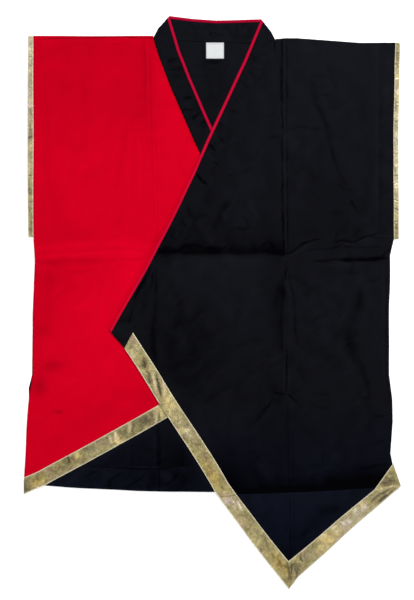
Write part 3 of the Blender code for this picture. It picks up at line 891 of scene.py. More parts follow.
def foldSamples(folds):
    lines = [np.zeros((0, 2))]
    for f in folds:
        path = smoothPath(f["places"], cloth["foldStep"])
        way = np.gradient(path, axis=0)
        normal = np.stack([-way[:, 1], way[:, 0]], axis=1)
        normal /= np.maximum(np.hypot(*normal.T), 1e-9)[:, None]
        lines.append(path)
        for share in cloth["foldRows"]:
            lines.append(path + normal * f["left"] * share)
            lines.append(path - normal * f["right"] * share)
    return np.vstack(lines)


def innerPoints(rim, piece, edge, inward):
    # rows just inside the rim, points along the folds, and an even grid between them
    roll = piece["roll"]
    rows = []
    for share in cloth["rimRows"]:
        row = edge + inward * roll * share
        rows.append(row[rimDistance(row, rim) > 0.85 * roll * share])
    fine = foldSamples(piece["folds"])
    fine = thinned(fine[rimDistance(fine, rim) > roll * 1.3], 1.0)
    grid = piece["grid"]
    rowGap = grid * cloth["rowPitch"]
    low = rim.min(0)
    size = ((rim.max(0) - low) / (grid, rowGap)).astype(int) + 2
    i, j = np.mgrid[0:size[0], 0:size[1]]
    even = np.stack([(low[0] + (i + 0.5 * (j % 2)) * grid).ravel(),
                     (low[1] + j * rowGap).ravel()], axis=1)
    even = even[rimDistance(even, rim) > roll + grid * 0.35]
    cell = grid * 0.5
    taken = {tuple(c) for c in np.round(fine / cell).astype(int)}
    free = [tuple(c) not in taken for c in np.round(even / cell).astype(int)]
    return rows[-1], np.vstack([*rows, fine, even[free]])


def triangulated(edge, inner):
    spots = [Vector(p) for p in np.vstack([edge, inner])]
    found = delaunay_2d_cdt(spots, [], [list(range(len(edge)))], 1, 1e-4)
    return np.array([v[:] for v in found[0]]), [list(f) for f in found[2]]


def runsAlong(way, angle):
    # whether an edge goes the way of a band
    off = (math.degrees(math.atan2(way[1], way[0])) - angle + 90) % 180 - 90
    return abs(off) <= cloth["bandTurn"] and math.hypot(*way) > cloth["tiny"]


def selvedgeOf(points, rim, angle, width):
    # 1 on the narrow edges that run along a band, 0 elsewhere
    best = np.full(len(points), cloth["far"])
    for a, b in edgesOf(rim):
        way = b - a
        if runsAlong(way, angle):
            best = np.minimum(best, toEdge(points, a, way)[2])
    return np.clip((width - best) / 0.5 + 0.5, 0, 1)


def makeCloth(name, piece, paint):
    # a closed shell: a rounded rim, a folded top and a plain underside
    rim = rims[piece["node"]]
    raster = rasters[piece["node"]]
    half = piece["thick"] / 2
    edge, inward = rimSamples(rim, piece["rimStep"])
    lastRow, inner = innerPoints(rim, piece, edge, inward)
    points, faces = triangulated(edge, inner)
    _, tone, tint = reliefOf(piece, points)
    z = topOf(piece, points)

    low = rim.min(0)
    size = ((rim.max(0) - low) / cloth["lowGrid"]).astype(int) + 1
    coarse = low + np.mgrid[0:size[0], 0:size[1]].reshape(2, -1).T * cloth["lowGrid"]
    coarse = coarse[rimDistance(coarse, rim) > piece["roll"] + 3]
    lowPoints, lowFaces = triangulated(edge, np.vstack([lastRow, coarse]))
    lowDistance = np.maximum(rimDistance(lowPoints, rim), 0)
    lowMiddle = readRaster(raster, lowPoints) - half + carriedBy(piece, lowPoints)
    lowZ = np.maximum(lowMiddle - half * crownOf(lowDistance, piece["roll"]), 0)

    selvedge = np.zeros(len(points))
    if piece["edgeAngle"] is not None:
        selvedge = selvedgeOf(points, rim, piece["edgeAngle"], piece["selvedge"])
        if piece["edgeGap"]:
            x, downBy, reach = piece["edgeGap"]
            gap = np.hypot(points[:, 0] - x, points[:, 1] + downBy)
            selvedge = selvedge * softStep((gap - reach) / 5)
    shell = bmesh.new()
    # each point carries its painted light and shade, its tint and its selvedge
    layers = [shell.verts.layers.float.new(label) for label in ("tone", "tint", "selvedge")]
    upper = []
    for (x, y), height, *marks in zip(points, z, tone, tint, selvedge):
        vert = shell.verts.new(worldPlace(x, -y, height))
        for layer, mark in zip(layers, marks):
            vert[layer] = mark
        upper.append(vert)
    for face in faces:
        shell.faces.new([upper[i] for i in face])
    shared = {tuple(np.round(p, 3)): v for p, v in zip(points, upper)}
    onRim = lowDistance < 0.02
    lower = []
    for (x, y), height, share in zip(lowPoints, lowZ, onRim):
        twin = shared.get(tuple(np.round((x, y), 3))) if share else None
        lower.append(twin or shell.verts.new(worldPlace(x, -y, height)))
    for face in lowFaces:
        shell.faces.new([lower[i] for i in reversed(face)])
    data = bpy.data.meshes.new(name)
    shell.to_mesh(data)
    ragged = sum(not e.is_manifold for e in shell.edges)
    shell.free()
    data.shade_smooth()
    data.materials.append(paint)
    thing = bpy.data.objects.new(name, data)
    bpy.context.scene.collection.objects.link(thing)
    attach(thing, "root")
    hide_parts(piece["node"])
    print(f"{name}: {len(data.polygons)} faces, {ragged} ragged edges")
    return thing


# back, its turned-up hem and the neck label

backPanel = {
    **clothDefaults,
    "node": "back",
    "slot": "black_cloth",
    "flat": (660, 821),
    "grid": 7,
    "rimStep": 5,
    "loft": 0.5,
    "wave": 0.2,
    "rumple": 0.35,
    "seed": 3,
    "coveredBy": ["right_front", "left_front", "collar_right", "collar_left", "collar_back"],
    "folds": [
        fold([(-104, 690), (-103, 760), (-104, 815)], 4, 3, -0.4, -0.5),
        fold([(-100, 690), (-99, 760), (-100, 816)], 2, 1.6, -0.5, -0.7),
        fold([(-110, 700), (-109, 760), (-110, 815)], 2.4, 2.4, 0.4, 0.2),
        fold([(-150, 720), (-149, 760), (-152, 790)], 3, 3, -0.4, -0.25),
        fold([(-185, 793), (-170, 788), (-156, 785)], 4, 5, -0.5, -0.35),
        fold([(-178, 800), (-140, 797), (-106, 794)], 6, 5, -0.6, -0.4),
        fold([(-60, 690), (-58, 740), (-62, 800)], 6, 7, -0.5, -0.15),
        fold([(-20, 60), (-10, 85), (-4, 118)], 5, 6, -0.5, -0.15),
        fold([(26, 30), (20, 52), (8, 80)], 4, 6, -0.4, -0.12),
    ],
    "swells": [
        swell(-190, 780, 80, 40, 0, 0.3, -0.3),
        swell(-120, 770, 70, 60, 0, 0, -0.45),
        swell(-60, 770, 40, 90, 0, 0, -0.5),
        swell(0, 110, 60, 110, 0, 0.3, -0.24),
        swell(-20, 190, 40, 60, 0, 0, -0.12),
        # painted shadow under the neck label and along its left side
        swell(0, 42, 16, 3, 0, 0, -0.7),
        swell(-19, 26, 2.5, 14, 0, 0, -0.4),
    ],
}
backHem = {
    **clothDefaults,
    "node": "back_hem",
    "slot": "black_cloth",
    "flat": (46, 650),
    "grid": 5,
    "rimStep": 5,
    "loft": 0.4,
    "wave": 0.2,
    "rumple": 0.3,
    "rumplePaintedLight": 0.3,
    "rumpleLength": 30,
    "seed": 4,
    "coveredBy": ["right_front", "left_front"],
    "liesOn": backPanel,
    "folds": [
        fold([(-229, 770), (-157, 774), (-117, 776), (-90, 774), (-63, 770), (-40, 770)],
             2.4, 2.2, -0.3, -1),
        fold([(-210, 806), (-170, 808), (-120, 806)], 4, 4, -0.3, -0.2),
        fold([(-235, 790), (-222, 783), (-208, 779)], 3, 3, -0.4, -0.3, fade=8),
        fold([(-196, 800), (-178, 790), (-166, 781)], 3.5, 3, -0.4, -0.35, fade=8),
        fold([(-160, 808), (-140, 797), (-124, 785)], 3.5, 3.5, -0.4, -0.4, fade=8),
        fold([(-150, 790), (-136, 784), (-122, 780)], 3, 3, 0.4, 0.25, fade=8),
        fold([(-92, 806), (-76, 795), (-66, 782)], 4, 4, -0.4, -0.4, fade=8),
        fold([(-101, 778), (-100, 796), (-101, 815)], 2.4, 2, -0.4, -0.6, fade=4),
    ],
    "swells": [
        swell(-190, 790, 80, 30, 0, 0, -0.32),
        swell(-110, 795, 60, 30, 0, 0, -0.42),
        swell(-50, 790, 40, 60, 0, 0, -0.5),
    ],
}
neckLabel = {
    **clothDefaults,
    "node": "label",
    "slot": "white_label",
    "flat": (32, 29),
    "roll": 0.5,
    "grid": 1.6,
    "rimStep": 1.2,
    "loft": 0.5,
    "wave": 0.15,
    "waveLength": 22,
    # painted shade along the label's rim
    "paintedEdgeShade": -0.8,
    "edgeWidth": 1.3,
    "seed": 5,
    "liesOn": backPanel,
    "folds": [fold([(-16, 11), (0, 11), (16, 11)], 1.2, 1.2, -0.25, -0.35)],
    "swells": [swell(-13, 35, 9, 7, 30, 0.8, 0), swell(13, 36, 8, 6, 0, 0.5, 0)],
}

# right front, red, with its collar band and piping

leftOver = ["left_front", "collar_left", "piping_left"]
rightFront = {
    **clothDefaults,
    "node": "right_front",
    "slot": "red_cloth",
    "flat": (478, 826),
    "loft": 1.2,
    "wave": 0.35,
    "waveLength": 120,
    "rumple": 0.4,
    "rumpleLength": 52,
    "rumplePaintedLight": 0.07,
    "seed": 7,
    "coveredBy": leftOver,
    "paintedEdgeShade": -0.3,
    "edgeWidth": 2.5,
    "folds": [
        # pressed fold beside the neck
        fold([(-128, 0), (-127, 60), (-127, 116)], 4.5, 5, -0.3, -0.12),
        fold([(-126, 4), (-125, 60), (-125, 108)], 1.8, 1.8, -0.15, -0.06),
        fold([(-122, 2), (-121, 100), (-119, 190)], 2.2, 2.2, 0.5, 0.2),
        fold([(-117, 12), (-116, 100), (-115, 172)], 5.5, 4.5, -0.3, -0.12),
        fold([(-116, 30), (-115, 100), (-114, 190)], 1.8, 1.8, -0.15, -0.05),
        fold([(-114, 180), (-111, 270), (-110, 330)], 3, 4, -0.4, -0.16),
        fold([(-106, 182), (-104, 280), (-103, 372)], 2.4, 2.4, -0.4, -0.22),
        fold([(-110, 190), (-108, 280), (-107, 370)], 2, 2, 0.3, 0.14),
        # shadow of the piping
        fold([(0, 160), (-71, 300), (-121, 400), (-175, 500), (-190, 531)],
             3, 6, 0, -0.34, fade=20, even=True),
        fold([(-100, 352), (-112, 378), (-126, 400)], 4, 12, -0.4, -0.34),
        # softer runs down the chest
        fold([(-160, 160), (-169, 220), (-178, 278)], 12, 11, -0.3, -0.1),
        fold([(-150, 150), (-145, 220), (-149, 296)], 6, 6, -0.22, -0.08),
        fold([(-139, 168), (-136, 230), (-138, 300)], 4, 4, 0.35, 0.14),
        fold([(-130, 190), (-128, 240), (-131, 310)], 4.5, 4.5, -0.2, -0.08),
        fold([(-158, 230), (-157, 290), (-162, 350)], 5, 5, 0.3, 0.1),
        fold([(-96, 190), (-98, 250), (-94, 320)], 4, 5, -0.3, -0.12),
        fold([(-104, 150), (-103, 200), (-105, 260)], 3.5, 3.5, 0.3, 0.1),
        fold([(-240, 60), (-232, 130), (-238, 210)], 14, 14, -0.3, -0.06),
        fold([(-300, 120), (-304, 200), (-299, 290)], 8, 10, -0.3, -0.08),
        # waist crease
        fold([(-324, 381), (-279, 378), (-225, 374), (-171, 372), (-118, 378)], 12, 12, 0.7, 0.26),
        fold([(-322, 395), (-279, 392), (-225, 388), (-171, 386), (-120, 390)], 5, 5, 0.3, 0.3),
        fold([(-313, 406), (-279, 403), (-243, 401), (-207, 402), (-178, 401)], 8, 13, -0.5, -0.22),
        fold([(-184, 396), (-153, 400), (-116, 398)], 4, 4, -0.7, -0.4),
        fold([(-262, 424), (-236, 421), (-214, 417)], 6, 5, -0.3, -0.14),
        fold([(-180, 410), (-168, 412), (-152, 410)], 4, 4, -0.3, -0.18),
        fold([(-174, 424), (-158, 427), (-140, 424)], 5, 5, 0.3, 0.2),
        fold([(-325, 399), (-318, 402), (-308, 403)], 3, 3, -0.4, -0.4),
        # lower half
        fold([(-262, 588), (-284, 590), (-305, 594)], 12, 14, -0.4, -0.1),
        fold([(-292, 574), (-300, 584), (-304, 600)], 12, 12, -0.3, -0.1),
        fold([(-295, 671), (-284, 674), (-272, 671)], 5.5, 5.5, -0.7, -0.42, fade=6),
        fold([(-296, 420), (-299, 470), (-299, 536)], 14, 14, -0.3, -0.12),
        fold([(-268, 480), (-240, 486), (-222, 466), (-216, 440)], 9, 9, 0.4, 0.25),
        fold([(-290, 470), (-268, 456), (-250, 446)], 10, 10, -0.4, -0.14),
        fold([(-196, 440), (-204, 480), (-206, 520)], 7, 7, 0.4, 0.18),
        fold([(-230, 500), (-228, 530), (-232, 560)], 7, 7, -0.4, -0.12),
        fold([(-188, 650), (-176, 636), (-170, 618)], 7, 7, -0.25, -0.06),
        fold([(-214, 676), (-204, 664), (-200, 648)], 8, 8, -0.25, -0.05),
        fold([(-270, 636), (-262, 620), (-248, 612)], 6, 7, 0.4, 0.22),
        fold([(-306, 640), (-296, 652), (-290, 668)], 6, 6, 0.3, 0.16),
        fold([(-326, 700), (-310, 690), (-300, 676)], 9, 9, -0.3, -0.08),
        fold([(-312, 740), (-290, 726), (-270, 720)], 10, 10, -0.25, -0.06),
        # edge of the shoulder, pressed over
        fold([(-326, 2), (-240, 0), (-180, -1), (-114, 0)], 2.4, 2.6, -0.3, -0.6),
        fold([(-322, 12), (-220, 11), (-125, 12)], 2.5, 2.5, -0.2, -0.1),
        fold([(-121, -2), (-117, -1), (-112, 2)], 2.5, 3, 0.4, -0.8, fade=3),
        # stitching of the armhole facing
        fold([(-306, 4), (-308, 148), (-307, 366)], 2.5, 2.5, -0.2, -0.1),
    ],
    "swells": [
        # broad painted light and shade across the panel, darker along the top
        swell(-215, 14, 150, 30, 0, 0, -0.2),
        swell(-230, 60, 130, 90, 0, 0, -0.16),
        swell(-280, 110, 90, 90, 0, 0.3, -0.14),
        swell(-145, 80, 30, 80, 0, 0, -0.1),
        swell(-142, 432, 34, 44, 0, 0.2, 0.46),
        swell(-294, 592, 32, 12, 8, 0, -0.24),
        swell(-275, 568, 40, 22, 8, 0, -0.08),
        swell(-312, 527, 14, 12, 30, 0, -0.22),
        swell(-120, 95, 110, 18, 90, 0, -0.16),
        swell(-165, 130, 60, 46, 0, 0.2, -0.14),
        swell(-290, 320, 30, 80, 0, 0.2, -0.12),
        swell(-245, 350, 60, 20, 0, 0.2, -0.1),
        swell(-100, 250, 40, 70, 0, 0.5, 0.1),
        swell(-160, 395, 40, 12, 0, 0.3, 0.24),
        swell(-285, 428, 40, 22, 0, 0.2, -0.16),
        swell(-205, 520, 100, 60, 62, 0.6, 0.46),
        swell(-190, 590, 60, 26, 20, 0.3, 0.22),
        swell(-314, 490, 22, 84, 0, 0.3, -0.12),
        swell(-316, 628, 15, 17, 0, -0.3, -0.5),
        swell(-120, 642, 24, 26, 0, 0, -0.14),
        swell(-220, 690, 60, 24, 24, 0.2, -0.12),
        swell(-310, 760, 40, 30, 24, 0.2, -0.1),
    ],
}
collarBack = {
    **clothDefaults,
    "node": "collar_back",
    "slot": "black_cloth",
    "flat": (42, 219),
    "thick": 2,
    "roll": 1.3,
    "grid": 3,
    "rimStep": 2,
    "loft": 0.4,
    "wave": 0.2,
    "waveLength": 40,
    "rumple": 0.35,
    "rumpleLength": 26,
    "seed": 11,
    "coveredBy": ["collar_right", "collar_left", "piping_right", "piping_left"],
    "folds": [
        fold([(-10, -15), (-8, -8), (-7, 1)], 2.2, 2.6, -0.5, -0.45, fade=5),
        fold([(22, -17), (26, -6), (29, 2)], 2.5, 2.8, -0.5, -0.45, fade=5),
        fold([(37, -22), (39, -16), (38, -10)], 2.5, 2, -0.5, -0.5, fade=5),
        fold([(-40, -20), (-34, -10), (-35, 2)], 3, 3.5, -0.4, -0.3, fade=8),
        fold([(-12, -4), (-2, -8), (8, -6)], 2, 2, -0.3, -0.4, fade=5),
        fold([(12, -14), (20, -18), (28, -18)], 2, 2, -0.3, -0.4, fade=5),
        fold([(48, -24), (50, -14), (47, -4)], 3, 3, -0.4, -0.3, fade=6),
        fold([(6, -24), (8, -15), (4, -6)], 3, 3, 0.4, 0.3, fade=8),
        fold([(32, -24), (33, -14), (34, -6)], 2.4, 2.4, 0.4, 0.35, fade=6),
        fold([(-62, -22), (-58, -10), (-60, 0)], 4, 4, 0.4, 0.2, fade=8),
        fold([(60, -3), (66, -2), (70, 1)], 3, 3, -0.5, -0.7, fade=5),
    ],
    "swells": [swell(-40, -10, 60, 20, 0, 0, -0.14), swell(60, -8, 24, 22, 0, 0, -0.3)],
}
collarDefaults = {
    **clothDefaults,
    "foldSpread": 1.25,
    "foldDepth": 0.85,
    "slot": "black_cloth",
    "thick": 2,
    "roll": 1.3,
    "grid": 3,
    "rimStep": 2.5,
    "loft": 0.4,
    "wave": 0.3,
    "waveLength": 60,
    "rumple": 0.35,
    "rumpleLength": 26,
    "rumplePaintedLight": 0.24,
    "paintedEdgeShade": -0.5,
    "edgeWidth": 1.8,
}
collarRight = {
    **collarDefaults,
    "node": "collar_right",
    "flat": (33.5, 655),
    "seed": 12,
    "coveredBy": leftOver,
    "folds": [
        fold([(-88, 43), (-78, 40), (-67, 37)], 3.2, 3.4, -0.6, -0.65, fade=8),
        fold([(-86, 58), (-72, 57), (-58, 56)], 3, 3.4, -0.6, -0.6, fade=8),
        fold([(-80, 50), (-72, 48), (-64, 48)], 3, 3, 0.5, 0.3, fade=6),
        fold([(-66, 84), (-58, 80), (-50, 80)], 3, 3, 0.5, 0.3, fade=6),
        fold([(-76, 72), (-68, 70), (-62, 72)], 2.6, 2.6, -0.4, -0.4, fade=6),
        fold([(-58, 110), (-50, 108), (-40, 106)], 2.8, 3.2, -0.7, -0.75, fade=7),
        fold([(-60, 120), (-52, 119), (-44, 118)], 2.6, 2.6, 0.5, 0.35, fade=6),
        fold([(-60, 130), (-50, 129), (-40, 131)], 3.6, 3.6, -0.7, -0.75, fade=7),
        fold([(-42, 147), (-35, 141), (-27, 135)], 4, 4.2, -0.9, -0.85, fade=7),
        fold([(-26, 156), (-20, 150), (-14, 148)], 3, 3, -0.5, -0.5, fade=6),
        fold([(-20, 172), (-12, 166), (-4, 164)], 3, 3, 0.5, 0.3, fade=6),
        fold([(-10, 188), (-4, 182), (2, 180)], 3, 3, -0.5, -0.45, fade=6),
        fold([(-98, 12), (-92, 24), (-84, 34)], 5, 5, 0.4, 0.15),
    ],
    "swells": [swell(-30, 110, 130, 40, -64, 0, -0.26)],
}
collarLeft = {
    **collarDefaults,
    "node": "collar_left",
    "flat": (33.5, 650),
    "sewnTo": {"left_front": 0.9},
    "seed": 13,
    "folds": [
        fold([(-34, 241), (-25, 256), (-12, 266)], 3.6, 3.2, -0.8, -1, fade=7),
        fold([(-6, 221), (2, 226), (10, 231)], 2.4, 2.4, -0.5, -0.8, fade=6),
        fold([(-20, 208), (-10, 214), (-2, 224)], 4, 4, 0.5, 0.3, fade=7),
        fold([(62, 28), (68, 36), (74, 40)], 3.4, 3.4, -0.5, -0.42, fade=8),
        fold([(60, 56), (66, 66), (74, 74)], 3, 3, -0.5, -0.4, fade=8),
        fold([(66, 46), (76, 52), (86, 56)], 3.4, 3.4, 0.5, 0.25, fade=8),
        fold([(34, 102), (38, 112), (44, 118)], 3.2, 3.2, -0.5, -0.4, fade=8),
        fold([(26, 130), (34, 132), (42, 138)], 3.2, 3.2, -0.5, -0.42, fade=8),
        fold([(44, 74), (56, 88), (66, 94)], 5, 4, -0.4, -0.3, fade=8),
        fold([(8, 152), (14, 158), (22, 162)], 3, 3, -0.5, -0.42, fade=8),
        fold([(2, 174), (10, 182), (17, 190)], 4, 3.6, -0.7, -0.6, fade=7),
        fold([(-12, 192), (-4, 198), (2, 206)], 3.4, 3.4, -0.5, -0.6, fade=7),
        fold([(-50, 300), (-44, 318), (-30, 328)], 5, 5, -0.5, -0.45, fade=8),
        fold([(-62, 326), (-54, 338), (-46, 346)], 4, 4, -0.4, -0.4, fade=8),
        fold([(-84, 352), (-76, 360), (-66, 364)], 4, 4, -0.4, -0.3, fade=8),
        fold([(-116, 388), (-92, 387), (-77, 386), (-64, 388)], 26, 9, -0.6, -0.55,
             fade=0.1, even=True),
        fold([(-112, 386), (-92, 385), (-77, 384), (-64, 387)], 8, 3.4, -0.6, -0.5, fade=2),
        fold([(-96, 372), (-90, 378), (-86, 386)], 4, 4, -0.5, -0.35, fade=6),
        fold([(-116, 408), (-120, 424), (-134, 448), (-148, 476)], 3, 3, -0.8, -0.9, fade=8),
        fold([(-112, 420), (-113, 440), (-119, 456)], 2.6, 2.6, -0.5, -0.6, fade=8),
        fold([(-107, 412), (-106, 440), (-106, 470)], 3, 3, -0.5, -0.55, fade=8),
        fold([(-130, 466), (-138, 488), (-150, 508)], 3, 3, 0.4, 0.25, fade=8),
        fold([(-148, 486), (-151, 500), (-156, 516)], 3.6, 3, -0.5, -0.7, fade=7),
        fold([(-106, 492), (-112, 502), (-130, 512), (-146, 524)], 3, 3.4, -0.6, -0.6, fade=7),
        fold([(-176, 520), (-166, 528), (-160, 540)], 5, 5, 0.5, 0.25, fade=8),
    ],
    "swells": [
        swell(60, 50, 60, 40, 62, 0, -0.16),
        swell(0, 220, 90, 36, 62, 0, -0.26),
        swell(-80, 360, 60, 36, 62, 0, -0.35),
        swell(-135, 470, 60, 36, 62, 0, -0.32),
    ],
}
pipingDefaults = {
    **clothDefaults,
    "slot": "crimson_piping",
    "thick": 2,
    "roll": 2.45,
    "grid": 1.7,
    "rimStep": 2.2,
    "wave": 0.12,
    "waveLength": 26,
    "paintedEdgeShade": -0.55,
    "edgeWidth": 1.2,
}
pipingBack = {
    **pipingDefaults,
    "node": "piping_back",
    "flat": (10, 163),
    "seed": 21,
    "swells": [swell(-8, -32, 200, 14, 1, 0, -0.3)],
    "coveredBy": ["piping_right", "piping_left", "collar_right", "collar_left"],
}
pipingRight = {
    **pipingDefaults,
    "node": "piping_right",
    "flat": (10, 650),
    "seed": 22,
    "coveredBy": leftOver,
}
pipingLeft = {
    **pipingDefaults,
    "node": "piping_left",
    "flat": (10, 645),
    "seed": 23,
    # painted highlight along the piping's crown
    "swells": [swell(-170, 494, 60, 8, 60, 0, 0.3), swell(-76, 312, 330, 12, 62, 0, 0.5)],
}

# left front, black, on top of everything

